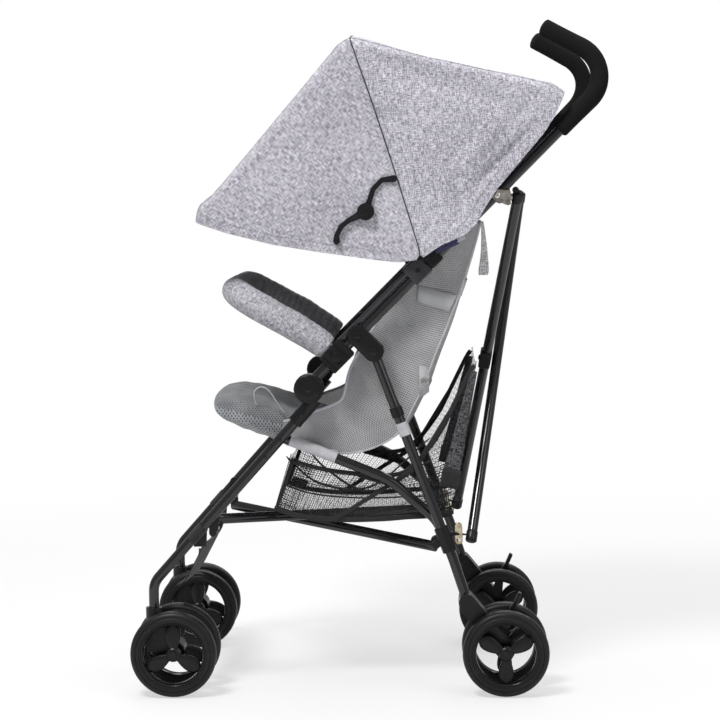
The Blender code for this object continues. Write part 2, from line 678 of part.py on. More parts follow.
def caster(side, s, y, leg_path):
    """Swivelling front fork: a boss round the leg's stem and a trailing body on the axle."""
    half = WHEEL_OFFSET - WHEEL_WIDTH / 2 - 0.005
    stem_x = LEG_CORNER[0]
    body = plate("fork", discs((stem_x + 0.002, STEM_BOTTOM - 0.012, 0.0135),
                               (stem_x + 0.006, WHEEL_RADIUS + 0.010, 0.0160),
                               (FRONT_AXLE_X, WHEEL_RADIUS, 0.0160)), y - s * half, y + s * half)
    boss = rod("boss", (stem_x, y, STEM_BOTTOM - 0.022), (stem_x, y, STEM_BOTTOM + 0.017), 0.0130, 20)
    join(body, boss, *axle(side, FRONT_AXLE_X, y))
    cut(body, rod("bore", (stem_x, y, STEM_BOTTOM - CLEAR), (stem_x, y, STEM_BOTTOM + 0.05),
                  TUBE_RADIUS + CLEAR, 16))
    node(body, side + "_caster", PLASTIC, (stem_x, y, STEM_BOTTOM))


def top_bracket(side, s, y):
    """Zinc U that turns on the handle tube and carries the tall X bar's top end."""
    inner = y - s * (TUBE_RADIUS + 2 * CLEAR + 0.0022)
    outer = y + s * (TUBE_RADIUS + 2 * CLEAR + 0.0022)
    web_x = TOP_PIVOT[0] + 0.0205
    body = plate("plates", discs((*TOP_PIVOT, 0.0085), (web_x - 0.004, X_TOP[1] + 0.010, 0.004),
                                 (web_x - 0.004, X_TOP[1] - 0.006, 0.004)), inner, outer)
    turn = math.radians(20)
    room = TUBE_RADIUS + 0.0013
    gap = []
    for way in (math.radians(45), math.radians(45) + turn, math.radians(225),
                math.radians(225) + turn):
        for reach in (0.0, 0.04):
            gap.append((TOP_PIVOT[0] + reach * math.cos(way), TOP_PIVOT[1] + reach * math.sin(way)))
    upper = plate("gap", discs((*TOP_PIVOT, room), (*gap[1], room), (*gap[3], room)),
                  y - TUBE_RADIUS - 2 * CLEAR, y + TUBE_RADIUS + 2 * CLEAR)
    lower = plate("gap", discs((*TOP_PIVOT, room), (*gap[5], room), (*gap[7], room)),
                  y - TUBE_RADIUS - 2 * CLEAR, y + TUBE_RADIUS + 2 * CLEAR)
    cut(body, upper, lower)
    pin = rod("pin", at(TOP_PIVOT, inner + s * 0.0005), at(TOP_PIVOT, outer - s * 0.0005),
              PIN_RADIUS, PIN_SIDES)
    top = at(X_TOP, s * X_HALF)
    bar_front = top + X_NORMAL * (s * X_LAYER - TUBE_RADIUS - CLEAR)
    web = block("web", ((web_x - 0.001), (y + top.y) / 2 - s * 0.001, X_TOP[1] + 0.0015),
                (0.003, abs(y - top.y) + 0.022, 0.020), 0)
    pin_start = Vector((web_x - 0.001, top.y, top.z + 0.0032))
    post = rod("post", pin_start, bar_front, 0.005, 12)
    join(body, web, post, pin, bolt(TOP_PIVOT, outer, s, 0.005))
    node(body, side + "_top_bracket", ZINC, at(TOP_PIVOT, y))


def floor_bar(side, s):
    """Low bar from this side's rear leg to the other side's front leg."""
    rear = at(FLOOR_REAR, s * FLOOR_HALF)
    front = at(FLOOR_FRONT, -s * FLOOR_HALF)
    lift = Vector((FLOOR_FRONT[1] - FLOOR_REAR[1], 0, FLOOR_REAR[0] - FLOOR_FRONT[0])).normalized()
    lift = lift * (s * FLOOR_LAYER)
    bar = tube("floor", [rear + lift, front + lift], FLOOR_RADIUS)
    join(bar, ball("eye", rear, FLOOR_RADIUS + 0.0015), ball("eye", front, FLOOR_RADIUS + 0.0015))
    node(bar, side + "_floor_bar", PAINT, rear)


def canopy_side(side, s):
    """The bow ends and the two stay arms on one side of the canopy."""
    pivot = at(CANOPY_PIVOT, 0)
    mid_y = s * (FRAME_Y + SIDE_HALF + 2 * CLEAR + 0.002 + BOW_RADIUS)
    front_y = mid_y + s * (2 * BOW_RADIUS + CLEAR)
    mid = tube("bow", [at(p, mid_y) for p in (CANOPY_PIVOT, (0.0875, 0.700), (0.050, 0.805),
                                              (0.016, 0.908), (-0.0170, 0.9990))], BOW_RADIUS, 8)
    join(mid, rod("eye", at(CANOPY_PIVOT, mid_y - BOW_RADIUS), at(CANOPY_PIVOT, mid_y + BOW_RADIUS),
                  0.0065, 12))
    cut(mid, rod("hole", at(CANOPY_PIVOT, mid_y - 0.01), at(CANOPY_PIVOT, mid_y + 0.01),
                 0.0025 + CLEAR, 12))
    node(mid, side + "_mid_bow", PLASTIC)
    front = tube("bow", [at(p, front_y) for p in (CANOPY_PIVOT, (0.060, 0.688), (-0.030, 0.700),
                                                  (-0.145, 0.719), (-0.215, 0.736),
                                                  (-0.2465, 0.7520))], BOW_RADIUS, 8)
    join(front, rod("eye", at(CANOPY_PIVOT, front_y - BOW_RADIUS),
                    at(CANOPY_PIVOT, front_y + BOW_RADIUS), 0.0065, 12))
    cut(front, rod("hole", at(CANOPY_PIVOT, front_y - 0.01), at(CANOPY_PIVOT, front_y + 0.01),
                   0.0025 + CLEAR, 12))
    node(front, side + "_front_bow", PLASTIC, at(CANOPY_PIVOT, front_y))
    low = s * (CANOPY_HALF + CLEAR)
    high = low + s * STAY_THICKNESS
    width = STAY_WIDTH
    upper = strip("arm", (STAY_TOP, (0.025, 0.801), (0.0115, 0.787), (0.006, 0.770), KNUCKLE),
                  (0.0055, width, width, width, KNUCKLE_RADIUS * 0.55), low, high)
    join(upper, rod("knuckle", at(KNUCKLE, low), at(KNUCKLE, high), KNUCKLE_RADIUS * 0.8))
    node(upper, side + "_stay_upper", PLASTIC, at(STAY_TOP, low))
    low = high + s * CLEAR
    high = low + s * STAY_THICKNESS
    lower = strip("arm", (STAY_FOOT, (-0.0445, 0.717), (-0.038, 0.730), (-0.027, 0.739), KNUCKLE),
                  (0.0055, width, width, width, KNUCKLE_RADIUS * 0.5), low, high)
    foot = rod("foot", at(STAY_FOOT, low + s * 0.001), at(STAY_FOOT, s * (CANOPY_HALF + CLEAR)),
               0.0045, PIN_SIDES)
    join(lower, foot,
         rod("knuckle", at(KNUCKLE, low), at(KNUCKLE, high + s * 0.002), KNUCKLE_RADIUS, 16))
    node(lower, side + "_stay_lower", PLASTIC, at(STAY_FOOT, low))


for side, s in (("left", -1), ("right", 1)):
    side_frame(side, s)


# ---------------------------------------------------------------- tall X frame
def x_bar(name, start_side, layer):
    """A bar from one side's top bracket to the other side's leg bracket."""
    top = at(X_TOP, start_side * X_HALF) + X_NORMAL * layer
    bottom = at(X_BOTTOM, -start_side * X_HALF) + X_NORMAL * layer
    path = longer([top, bottom], X_TIP, X_TIP)
    return node(tube(name, path, TUBE_RADIUS), name, PAINT, top)


x_bar("x_bar_a", -1, -X_LAYER)
x_bar("x_bar_b", 1, X_LAYER)


def x_centre():
    """Saddle on the front bar, with the rivet that both bars turn on."""
    middle = (at(X_TOP, 0) + at(X_BOTTOM, 0)) / 2
    top = at(X_TOP, -X_HALF) - X_NORMAL * X_LAYER
    bottom = at(X_BOTTOM, X_HALF) - X_NORMAL * X_LAYER
    way = (bottom - top).normalized()
    reach = X_LAYER + TUBE_RADIUS + 0.0025
    across = way.cross(X_NORMAL).normalized()
    frame = Matrix((X_NORMAL, across, way)).transposed().to_4x4()
    body = block("saddle", (0, 0, 0), (reach - 0.0006, 2 * TUBE_RADIUS + 0.006, 0.030), 0, 0.002)
    body.data.transform(Matrix.Translation(middle - X_NORMAL * (reach + 0.0006) / 2) @ frame)
    head = rod("rivet", middle - X_NORMAL * (reach - 0.001), middle - X_NORMAL * (reach + 0.002),
               0.005, 12, 0.0035)
    join(body, head)
    cut(body, tube("bore", longer([top, bottom], 0.02, 0.02), BORE))
    node(body, "x_centre_bracket", PLASTIC, middle)


x_centre()


# ---------------------------------------------------------------- soft parts
def sheet_shell(name, profile, closing, half, skin, crown, material, rows=8):
    """A cloth hood: a sheet over profile, an (x, z) line, with a flat wall at each side that
    also follows the closing line. The middle of the sheet rises by crown."""
    shape = bmesh.new()
    first = [shape.verts.new((x, -half, z)) for x, z in profile]
    edges = [shape.edges.new((a, b)) for a, b in zip(first, first[1:])]
    end = first
    for row in range(rows):
        grown = bmesh.ops.extrude_edge_only(shape, edges=edges)["geom"]
        end = [v for v in grown if isinstance(v, bmesh.types.BMVert)]
        edges = [e for e in grown if isinstance(e, bmesh.types.BMEdge)]
        bmesh.ops.translate(shape, verts=end, vec=(0, 2 * half / rows, 0))
    for y in (-half, half):
        line = [min((v for v in shape.verts), key=lambda v, p=p: (v.co - Vector((p[0], y, p[1]))).length)
                for p in profile]
        back = [shape.verts.new((x, y, z)) for x, z in closing]
        shape.faces.new(line + back)
    for vert in shape.verts:
        vert.co.z += crown * (1 - (vert.co.y / half) ** 2)
    bmesh.ops.recalc_face_normals(shape, faces=shape.faces)
    mesh = bpy.data.meshes.new(name)
    shape.to_mesh(mesh)
    shape.free()
    made = place(name, mesh)
    thick = made.modifiers.new("Skin", "SOLIDIFY")
    thick.thickness = skin
    thick.offset = -1
    thick.use_even_offset = True
    return made


FRONT_TOP = [(-0.262, 0.739), (-0.258, 0.761), (-0.238, 0.774), (-0.177, 0.846), (-0.099, 0.936),
             (-0.036, 1.010), (-0.0232, 1.0155)]
FRONT_BACK = [(0.0130, 0.911), (0.0470, 0.805), (0.0805, 0.696)]
FRONT_HEM = [(0.0810, 0.6815), (0.050, 0.676), (0.015, 0.680), (-0.074, 0.693), (-0.145, 0.705), (-0.215, 0.723)]
REAR_TOP = [(-0.0216, 1.0155), (-0.010, 1.014), (0.036, 1.002), (0.098, 0.985), (0.208, 0.961),
            (0.270, 0.945), (0.288, 0.943), (0.305, 0.930)]
REAR_HEM = [(0.287, 0.894), (0.273, 0.872), (0.201, 0.787), (0.180, 0.755), (0.169, 0.734),
            (0.152, 0.717), (0.114, 0.701), (0.0850, 0.6835)]
REAR_FRONT = [(0.0820, 0.696), (0.0485, 0.805), (0.0145, 0.911)]


def canopy():
    front = sheet_shell("canopy_front", FRONT_TOP, FRONT_BACK + FRONT_HEM, CANOPY_HALF, CANOPY_SKIN,
                        CANOPY_CROWN, HEATHER)
    node(front, "canopy_front", HEATHER, at(CANOPY_PIVOT, 0), smooth=False)
    rear = sheet_shell("canopy_rear", REAR_TOP, REAR_HEM + REAR_FRONT, CANOPY_HALF, CANOPY_SKIN,
                       CANOPY_CROWN, HEATHER)
    node(rear, "canopy_rear", HEATHER, smooth=False)


canopy()


def bumper():
    """Padded U from one bumper mount round the child to the other."""
    y = FRAME_Y - 0.008
    left = [(-0.0628, -y, 0.5418), (-0.0760, -y, 0.5500), (-0.0880, -y, 0.5590),
            (-0.1200, -y, 0.5800), (-0.1640, -y, 0.6105)]
    corner = [Vector(left[-1]), Vector((-0.2150, -y + 0.004, 0.6400)),
              Vector((-0.2150, 0.0, 0.6400)), Vector((-0.2150, y - 0.004, 0.6400)),
              Vector((left[-1][0], y, left[-1][2]))]
    bend = rounded(corner, [0.055, 0.0, 0.055])
    path = [Vector(p) for p in left[:-1]] + bend + [Vector((x, -v, z)) for x, v, z in left[-2::-1]]
    shares = [0.50, 0.66, 0.86, 1.0] + [1.0] * len(bend) + [1.0, 0.86, 0.66, 0.50]
    node(tube("bumper", path, BUMPER_RADIUS, 12, shares), "bumper_bar", HEATHER)


bumper()


def seat():
    base = plate("seat", [(-0.240, 0.435), (-0.231, 0.419), (-0.207, 0.408), (-0.157, 0.394),
                          (-0.100, 0.381), (-0.045, 0.370), (-0.0124, 0.3862), (-0.0159, 0.4057),
                          (-0.060, 0.430), (-0.121, 0.461), (-0.150, 0.466), (-0.186, 0.480),
                          (-0.217, 0.482), (-0.233, 0.476), (-0.244, 0.448)],
                 -SOFT_HALF, SOFT_HALF, 0.006)
    node(base, "seat_base", MESH)
    rear = [(-0.012, 0.3865), (0.000, 0.3930), (0.035, 0.431), (0.057, 0.459), (0.081, 0.500),
            (0.102, 0.557), (0.134, 0.622), (0.161, 0.690), (0.178, 0.735)]
    front = [(0.166, 0.740), (0.081, 0.639), (0.032, 0.580), (0.000, 0.521), (-0.024, 0.448),
             (-0.0155, 0.406)]
    back = plate("back", rear + front, -SOFT_HALF, SOFT_HALF)
    inner = []
    for x, z in rear:
        inner.append((x - 0.011, z + 0.005))
    inner[0] = (-0.060, 0.4170)
    inner[1] = (-0.012, 0.4170)
    inner[-1] = (inner[-1][0] + 0.004, 0.765)
    inner += [(0.100, 0.765), (-0.100, 0.620), (-0.100, 0.417)]
    hollow = plate("hollow", inner, -SOFT_HALF + FABRIC, SOFT_HALF - FABRIC)
    cut(back, hollow)
    node(back, "backrest", MESH, smooth=False)


seat()


def basket():
    """Mesh basket under the seat, open along its top."""
    outline = [(0.169, 0.523), (0.172, 0.504), (0.120, 0.339), (0.119, 0.2650), (-0.020, 0.2720),
               (-0.146, 0.2860), (-0.150, 0.300), (-0.154, 0.324), (-0.108, 0.352),
               (-0.040, 0.348), (0.030, 0.330), (0.085, 0.350), (0.120, 0.420)]
    half = SOFT_HALF
    body = plate("basket", outline, -half, half)
    inner = [(0.155, 0.560), (0.160, 0.504), (0.108, 0.339), (0.107, 0.2690), (-0.020, 0.2760),
             (-0.138, 0.2900), (-0.146, 0.330), (-0.146, 0.560)]
    cut(body, plate("hollow", inner, -half + FABRIC, half - FABRIC))
    node(body, "basket", NET, at(LEG_PIVOT, 0), smooth=False)


basket()


def calf():
    """Strap between the front legs that the child's calves rest on."""
    half = FRAME_Y - TUBE_RADIUS - CLEAR
    strap = plate("calf", [(-0.262, 0.230), (-0.266, 0.226), (-0.291, 0.172), (-0.303, 0.166),
                           (-0.305, 0.170), (-0.294, 0.176), (-0.269, 0.232)], -half, half)
    for low in (-half, half - FABRIC):
        leg = along(LEG_TOP, LEG_CORNER, CALF_CLAMP)
        join(strap, plate("loop", discs((*leg, TUBE_RADIUS * 0.8), (-0.267, 0.227, 0.005)),
                          low, low + FABRIC))
    node(strap, "calf_support", NET, smooth=False)


calf()

root = bpy.data.objects.new("stroller", None)
parts.objects.link(root)
for made in parts.objects:
    if made is not root:
        made.parent = root
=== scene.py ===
"""The look of the umbrella stroller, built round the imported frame."""
import json
import math

import bmesh
import bpy
import numpy as np
from mathutils import Matrix, Vector

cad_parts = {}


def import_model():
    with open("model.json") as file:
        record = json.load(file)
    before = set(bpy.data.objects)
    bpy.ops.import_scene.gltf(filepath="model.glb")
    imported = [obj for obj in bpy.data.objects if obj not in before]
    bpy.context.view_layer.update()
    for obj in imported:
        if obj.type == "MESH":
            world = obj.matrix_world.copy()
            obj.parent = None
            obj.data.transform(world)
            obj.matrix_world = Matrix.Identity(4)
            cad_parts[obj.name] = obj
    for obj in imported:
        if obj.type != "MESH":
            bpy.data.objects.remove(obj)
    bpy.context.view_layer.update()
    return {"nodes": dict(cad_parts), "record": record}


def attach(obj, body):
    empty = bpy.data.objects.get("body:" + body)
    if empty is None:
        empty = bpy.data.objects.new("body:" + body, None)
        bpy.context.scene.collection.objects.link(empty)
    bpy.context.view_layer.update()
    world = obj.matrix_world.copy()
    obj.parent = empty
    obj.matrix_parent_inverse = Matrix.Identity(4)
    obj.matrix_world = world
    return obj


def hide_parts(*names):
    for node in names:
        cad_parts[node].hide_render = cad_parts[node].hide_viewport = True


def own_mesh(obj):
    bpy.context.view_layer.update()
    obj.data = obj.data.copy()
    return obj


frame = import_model()

FRAME_Y = 0.1755  # from the middle plane to the side frames
TUBE = 0.008  # radius of the steel tubes
RISE = 0.5765  # the handle tubes lie on z = x + RISE
SOFT = 0.1467  # half the width of seat, backrest and basket
SIDES = (("left", -1), ("right", 1))
scene = bpy.context.scene
scene.view_settings.view_transform = "Standard"


# ---------------------------------------------------------------- camera
def camera():
    """The photograph's camera: its forward, right and up directions come from pitch, yaw and roll."""
    pitch, yaw, roll = 0.08299, -0.032735, -0.008845
    focal, photo_width, sensor = 2069.607, 720, 36.0
    forward = Vector((math.sin(yaw) * math.cos(pitch), math.cos(yaw) * math.cos(pitch), -math.sin(pitch)))
    right = Vector((math.cos(yaw), -math.sin(yaw), 0.0))
    up = right.cross(forward)
    turned_right = right * math.cos(roll) + up * math.sin(roll)
    turned_up = up * math.cos(roll) - right * math.sin(roll)
    data = bpy.data.cameras.new("camera")
    data.sensor_width = sensor
    data.lens = focal / photo_width * sensor
    data.clip_end = 60.0
    made = bpy.data.objects.new("camera", data)
    made.matrix_world = Matrix.Translation((0.0933, -3.3766, 0.7893)) @ Matrix(
        (turned_right, turned_up, -forward)).transposed().to_4x4()
    scene.collection.objects.link(made)
    scene.camera = made


camera()


# ---------------------------------------------------------------- materials
class Value:
    """A socket that takes part in sums: each operator adds one Math node."""

    def __init__(self, tree, socket):
        self.tree, self.socket = tree, socket

    def math(self, operation, *others):
        return node(self.tree, "Math", {"operation": operation}, inputs=(self, *others))

    def __add__(self, other):
        return self.math("ADD", other)

    __radd__ = __add__

    def __mul__(self, other):
        return self.math("MULTIPLY", other)

    __rmul__ = __mul__

    def __sub__(self, other):
        return self.math("SUBTRACT", other)

    def __rsub__(self, other):
        return (self * -1.0) + other

    def step(self, low, high):
        """0 below low, 1 above high, and a smooth rise between them."""
        return node(self.tree, "MapRange", {"interpolation_type": "SMOOTHSTEP"}, inputs=(self, low, high))

    def wave(self, pitch):
        """A cosine over the value, from -1 to 1, one turn to each pitch."""
        return (self * (2 * math.pi / pitch)).math("COSINE")

    def colours(self, *stops):
        return node(self.tree, "ValToRGB", {"stops": stops}, inputs=(self,))


def fill_inputs(made, values):
    """Sets or links a node's inputs, each given by its number or by its name with _ for a space."""
    for name, value in values.items():
        slot = made.inputs[name.replace("_", " ") if isinstance(name, str) else name]
        if isinstance(value, Value):
            value.tree.links.new(value.socket, slot)
        else:
            slot.default_value = value


def node(tree, kind, settings=None, output=0, inputs=(), **values):
    """Adds a node: first its settings, with a ramp's stops among them, then its inputs by order or by name."""
    made = tree.nodes.new("ShaderNode" + kind)
    for name, value in (settings or {}).items():
        if name != "stops":
            setattr(made, name, value)
            continue
        for _ in range(len(value) - 2):
            made.color_ramp.elements.new(0.5)
        for element, (place, colour) in zip(made.color_ramp.elements, value):
            element.position, element.color = place, (*colour, 1.0)
    fill_inputs(made, {**dict(enumerate(inputs)), **values})
    return Value(tree, made.outputs[output])


class Finish:
    """A material under construction."""

    def __init__(self, name, **shader):
        self.material = bpy.data.materials.new(name)
        self.material.use_nodes = True
        self.tree = self.material.node_tree
        self.shader = self.tree.nodes["Principled BSDF"]
        fill_inputs(self.shader, shader)

    def place(self, scale=(1, 1, 1), source="Object"):
        """Coordinates in metres, scaled: the object's own, or the piece's cloth map."""
        return node(self.tree, "Mapping", Vector=node(self.tree, "TexCoord", output=source), Scale=scale)

    def noise(self, scale, detail=2.0, rough=0.5, where=None):
        return node(self.tree, "TexNoise", Vector=where or self.place(), Scale=scale, Detail=detail, Roughness=rough)

    def yarn(self, along, across, detail=2.0, rough=0.55):
        """Noise on the cloth map, drawn out into streaks by its two scales."""
        return self.noise(1.0, detail, rough, self.place((along, across, 1), "UV"))

    def cloth_ways(self):
        """The two directions of the cloth map."""
        where = self.place(source="UV")
        return [node(self.tree, "SeparateXYZ", output=way, Vector=where) for way in range(2)]

    def bump(self, height, distance, strength=1.0):
        made = node(self.tree, "Bump", Height=height, Distance=distance, Strength=strength)
        fill_inputs(self.shader, {"Normal": made})

    def done(self, **values):
        fill_inputs(self.shader, values)
        return self.material


def shade(colour, share):
    return tuple(c * share for c in colour)


def black_paint(name, colour=(0.006, 0.006, 0.007), rough=0.15):
    """Gloss paint on steel tube: a faint orange peel and small changes of gloss."""
    f = Finish(name, Coat_Weight=0.55, Coat_Roughness=0.03, Specular_IOR_Level=0.28)
    cloudy = f.noise(38.0, 3.0)
    f.bump(f.noise(420.0, 2.0), 0.00012, 0.35)
    return f.done(Base_Color=cloudy.colours((0.3, shade(colour, 0.8)), (0.75, shade(colour, 1.35))),
                  Roughness=cloudy * 0.12 + (rough - 0.03))


def moulded(name, colour=(0.0055, 0.0055, 0.006), rough=0.30, grain=0.00016):
    """Moulded plastic with a fine spark-eroded grain and slight scuffs."""
    f = Finish(name, Specular_IOR_Level=0.26)
    scuff = f.noise(55.0, 5.0, 0.62).step(0.52, 0.75)
    f.bump(f.noise(1500.0, 2.0, 0.6), grain, 0.6)
    return f.done(Base_Color=f.noise(24.0, 3.0).colours((0.3, shade(colour, 0.85)), (0.75, shade(colour, 1.3))),
                  Roughness=scuff * -0.10 + f.noise(300.0, 2.0) * 0.12 + (rough - 0.04))


def foam_rubber():
    """Closed-cell grip foam: matt, with tiny open cells."""
    f = Finish("grip_foam", Specular_IOR_Level=0.12)
    cells = node(f.tree, "TexVoronoi", {"feature": "F1"}, Vector=f.place(), Scale=950.0)
    f.bump(cells * 0.6 + f.noise(260.0, 3.0) * 0.7, 0.00035, 0.55)
    # the open cells, which are the pits of the bump, are darker: painted shade in the pores, with a random tone from
    # noise
    pore_shade_and_tone = cells + f.noise(70.0, 3.0) * 0.3
    return f.done(Base_Color=pore_shade_and_tone.colours((0.1, (0.003, 0.003, 0.003)), (0.9, (0.010, 0.010, 0.010))), Roughness=0.92)


def tyre_rubber():
    """Matt tyre: fine pores and a little dust on the sidewall."""
    f = Finish("tyre", Specular_IOR_Level=0.28)
    dust = f.noise(60.0, 5.0, 0.65).step(0.5, 0.8)
    f.bump(f.noise(900.0, 3.0, 0.6), 0.00018, 0.45)
    return f.done(Base_Color=dust.colours((0.0, (0.0065, 0.0065, 0.007)), (1.0, (0.015, 0.015, 0.015))),
                  Roughness=dust * 0.12 + 0.44)


def metal(name, dark, light, rough):
    """Plated metal: a cloudy plate over fine grain."""
    f = Finish(name, Metallic=1.0)
    cloud = f.noise(130.0, 4.0)
    f.bump(f.noise(700.0, 2.0), 0.00008, 0.5)
    return f.done(Base_Color=cloud.colours((0.3, dark), (0.72, light)), Roughness=cloud * 0.2 + (rough - 0.1))


def heather(name, low, high, purl=1.0):
    """Melange canvas: yarns in both directions, each a streak of its own shade, and the weave's relief."""
    f = Finish(name, Sheen_Weight=0.10, Sheen_Roughness=0.45, Specular_IOR_Level=0.25)
    warp, weft, slub = f.yarn(740, 120), f.yarn(120, 740), f.yarn(260, 50, 3.0, 0.6)
    broad = f.noise(9.0, 3.0, 0.5)
    blend = warp * 0.52 + weft * 0.52 + slub * 0.22 + broad * 0.10 - 0.18
    u, v = f.cloth_ways()
    weave = u.wave(0.0011) * v.wave(0.0011)
    f.bump(weave * 0.35 + warp * 0.5 + weft * 0.5, 0.0004 * purl, 0.8)
    middle = tuple((a + b) / 2 for a, b in zip(low, high))
    return f.done(Base_Color=blend.colours((0.41, low), (0.515, middle), (0.62, high)), Roughness=0.9)


def open_mesh(name, dark, light, pitch, hole, clear, bump=0.0003, depth=0.35):
    """Knitted mesh: cells of cos(u) cos(v), whose tops are holes that let a share called clear of the light
    through."""
    f = Finish(name, Sheen_Weight=0.15, Specular_IOR_Level=0.3)
    u, v = f.cloth_ways()
    holes = (u.wave(pitch) * v.wave(pitch * 1.5)).step(hole, hole + 0.25)
    f.bump(holes * -1.0, bump, 0.8)
    # the holes are darkened by depth: painted shade inside the mesh's holes, laid over a cloudy tone of its own
    cloudy = f.noise(30.0, 4.0) * 0.6 + holes * -depth + 0.35
    return f.done(Base_Color=cloudy.colours((0.2, dark), (0.75, light)), Roughness=0.85, Alpha=1.0 - holes * clear)


def netting(name, colour, pitch, thread, veil):
    """Knotted net: thin threads in a square lattice, thicker where they cross, and a faint veil between them."""
    f = Finish(name, Specular_IOR_Level=0.3)
    u, v = f.cloth_ways()
    along, across = u.wave(pitch), v.wave(pitch * 0.8)
    knots = (along * across).step(0.55, 0.8)
    lines = [way.step(1.0 - thread, 1.0 - thread * 0.55) for way in (along, across)]
    threads = lines[0].math("MAXIMUM", lines[1]).math("MAXIMUM", knots)
    f.bump(threads, 0.0003, 0.6)
    return f.done(Base_Color=f.noise(60.0, 2.0).colours((0.3, colour), (0.8, shade(colour, 2.2))),
                  Roughness=0.6, Alpha=threads * (1.0 - veil) + veil)


def webbing(name, dark, light):
    """Woven tape: ribs across its length with a herringbone between them."""
    f = Finish(name, Sheen_Weight=0.15, Specular_IOR_Level=0.35)
    u, v = f.cloth_ways()
    ribs = v.wave(0.0013)
    twill = (u + v * 0.6).wave(0.0017)
    f.bump(ribs * 0.6 + twill * 0.5, 0.00035, 0.8)
    # the colour follows the ribs and twill of the bump: painted shade in the weave's grooves, over a random tone from
    # noise
    rib_shade_and_tone = ribs * 0.18 + twill * 0.12 + f.noise(90.0, 3.0) * 0.6 + 0.2
    return f.done(Base_Color=rib_shade_and_tone.colours((0.2, dark), (0.8, light)), Roughness=0.75)


PAINT = black_paint("gloss_black_paint")
RAIL = black_paint("rail_black", (0.02, 0.02, 0.023), 0.28)
PLASTIC = moulded("satin_black_plastic")
GLOSSY = moulded("gloss_black_plastic", (0.010, 0.010, 0.011), 0.16, 0.00004)
FOAM = foam_rubber()
TYRE = tyre_rubber()
ZINC = metal("zinc_plate", (0.26, 0.22, 0.18), (0.62, 0.59, 0.55), 0.20)
STEEL = metal("bright_steel", (0.55, 0.53, 0.50), (0.86, 0.85, 0.82), 0.22)
BRASSY = metal("yellow_zinc", (0.34, 0.27, 0.16), (0.70, 0.62, 0.47), 0.24)
HEATHER = heather("heather_canvas", (0.220, 0.208, 0.245), (0.76, 0.738, 0.80))
BUMPER = heather("heather_bumper", (0.20, 0.195, 0.218), (0.66, 0.645, 0.69), 0.8)
INNER = heather("bumper_inside", (0.150, 0.146, 0.148), (0.290, 0.284, 0.288), 0.6)
LINING = heather("navy_lining", (0.02, 0.02, 0.06), (0.06, 0.06, 0.13), 0.5)
# depth sets how dark the painted shade in each mesh's holes is
SEAT_TOP = open_mesh("seat_spacer_mesh", (0.045, 0.048, 0.050), (0.27, 0.278, 0.287), 0.0042, 0.34, 0.0,
                     bump=0.0009, depth=0.55)
SEAT_SIDE = open_mesh("seat_side_mesh", (0.050, 0.054, 0.057), (0.42, 0.433, 0.45), 0.0056, 0.30, 0.0,
                      bump=0.0012, depth=0.75)
SHEER = open_mesh("sheer_mesh", (0.245, 0.245, 0.25), (0.43, 0.43, 0.435), 0.0032, 0.10, 0.55)
BACKING = open_mesh("backrest_mesh", (0.275, 0.275, 0.28), (0.48, 0.48, 0.485), 0.0032, 0.30, 0.50)
BAND = open_mesh("pale_band_mesh", (0.33, 0.335, 0.34), (0.52, 0.52, 0.53), 0.0034, 0.30, 0.0)
NET = netting("basket_net", (0.012, 0.012, 0.013), pitch=0.0074, thread=0.095, veil=0.02)
CALF = open_mesh("calf_mesh", (0.008, 0.008, 0.009), (0.028, 0.028, 0.03), 0.0034, 0.35, 0.55)
SPECKLED = heather("speckled_padding", (0.006, 0.006, 0.0065), (0.150, 0.150, 0.156), 0.7)
FLECKED = heather("flecked_white_tape", (0.34, 0.34, 0.35), (0.86, 0.86, 0.88), 0.7)
TAPE = webbing("black_tape", (0.006, 0.006, 0.007), (0.022, 0.022, 0.024))
PALE = webbing("pale_grey_tape", (0.40, 0.40, 0.42), (0.68, 0.68, 0.71))
LILAC = webbing("lavender_binding", (0.45, 0.44, 0.50), (0.70, 0.69, 0.75))
PIPING = webbing("dark_piping", (0.016, 0.016, 0.02), (0.05, 0.05, 0.06))
THREAD = webbing("grey_thread", (0.16, 0.16, 0.18), (0.34, 0.34, 0.37))


# ---------------------------------------------------------------- surfaces
def placed(name, mesh, material):
    """A mesh as a smooth object of one finish."""
    mesh.polygons.foreach_set("use_smooth", np.ones(len(mesh.polygons), bool))
    mesh.materials.append(material)
    mesh.update()
    made = bpy.data.objects.new(name, mesh)
    scene.collection.objects.link(made)
    return made


def mesh_piece(name, points, faces, maps, material):
    """A piece from an array of points, a list of faces, and each point's place on the cloth in metres."""
    mesh = bpy.data.meshes.new(name)
    mesh.from_pydata(points.reshape(-1, 3).tolist(), [], faces)
    if maps is not None:
        layer = mesh.uv_layers.new(name="cloth")
        corners = np.array([corner for face in faces for corner in face])
        layer.data.foreach_set("uv", maps.reshape(-1, 2)[corners].astype(np.float32).ravel())
    return placed(name, mesh, material)


def read(items, field, width=3, kind=np.float32):
    """One property of all points, corners or faces of a mesh as an array."""
    values = np.zeros(len(items) * width, kind)
    items.foreach_get(field, values)
    return values.reshape(-1, width) if width > 1 else values


def worked(mesh, *steps):
    """Lets each step change the mesh in bmesh."""
    shape = bmesh.new()
    shape.from_mesh(mesh)
    for step in steps:
        step(shape)
    shape.to_mesh(mesh)
    shape.free()


def face_out(shape):
    bmesh.ops.recalc_face_normals(shape, faces=shape.faces)


def fill_ends(shape):
    bmesh.ops.holes_fill(shape, edges=shape.edges, sides=0)


def join_doubles(shape, apart=1e-6):
    bmesh.ops.remove_doubles(shape, verts=shape.verts, dist=apart)


def join_flats(shape):
    """Joins a solid's loose triangles into the flat faces that they came from."""
    join_doubles(shape, 2e-6)
    bmesh.ops.dissolve_limit(shape, angle_limit=math.radians(1.0), verts=shape.verts, edges=shape.edges)


def eased(made, width, angle):
    """Rounds the edges that turn by more than an angle in degrees."""
    edge = made.modifiers.new("edges", "BEVEL")
    edge.width, edge.segments, edge.limit_method = width, 2, "ANGLE"
    edge.angle_limit = math.radians(angle)
    edge.harden_normals = True
    return made


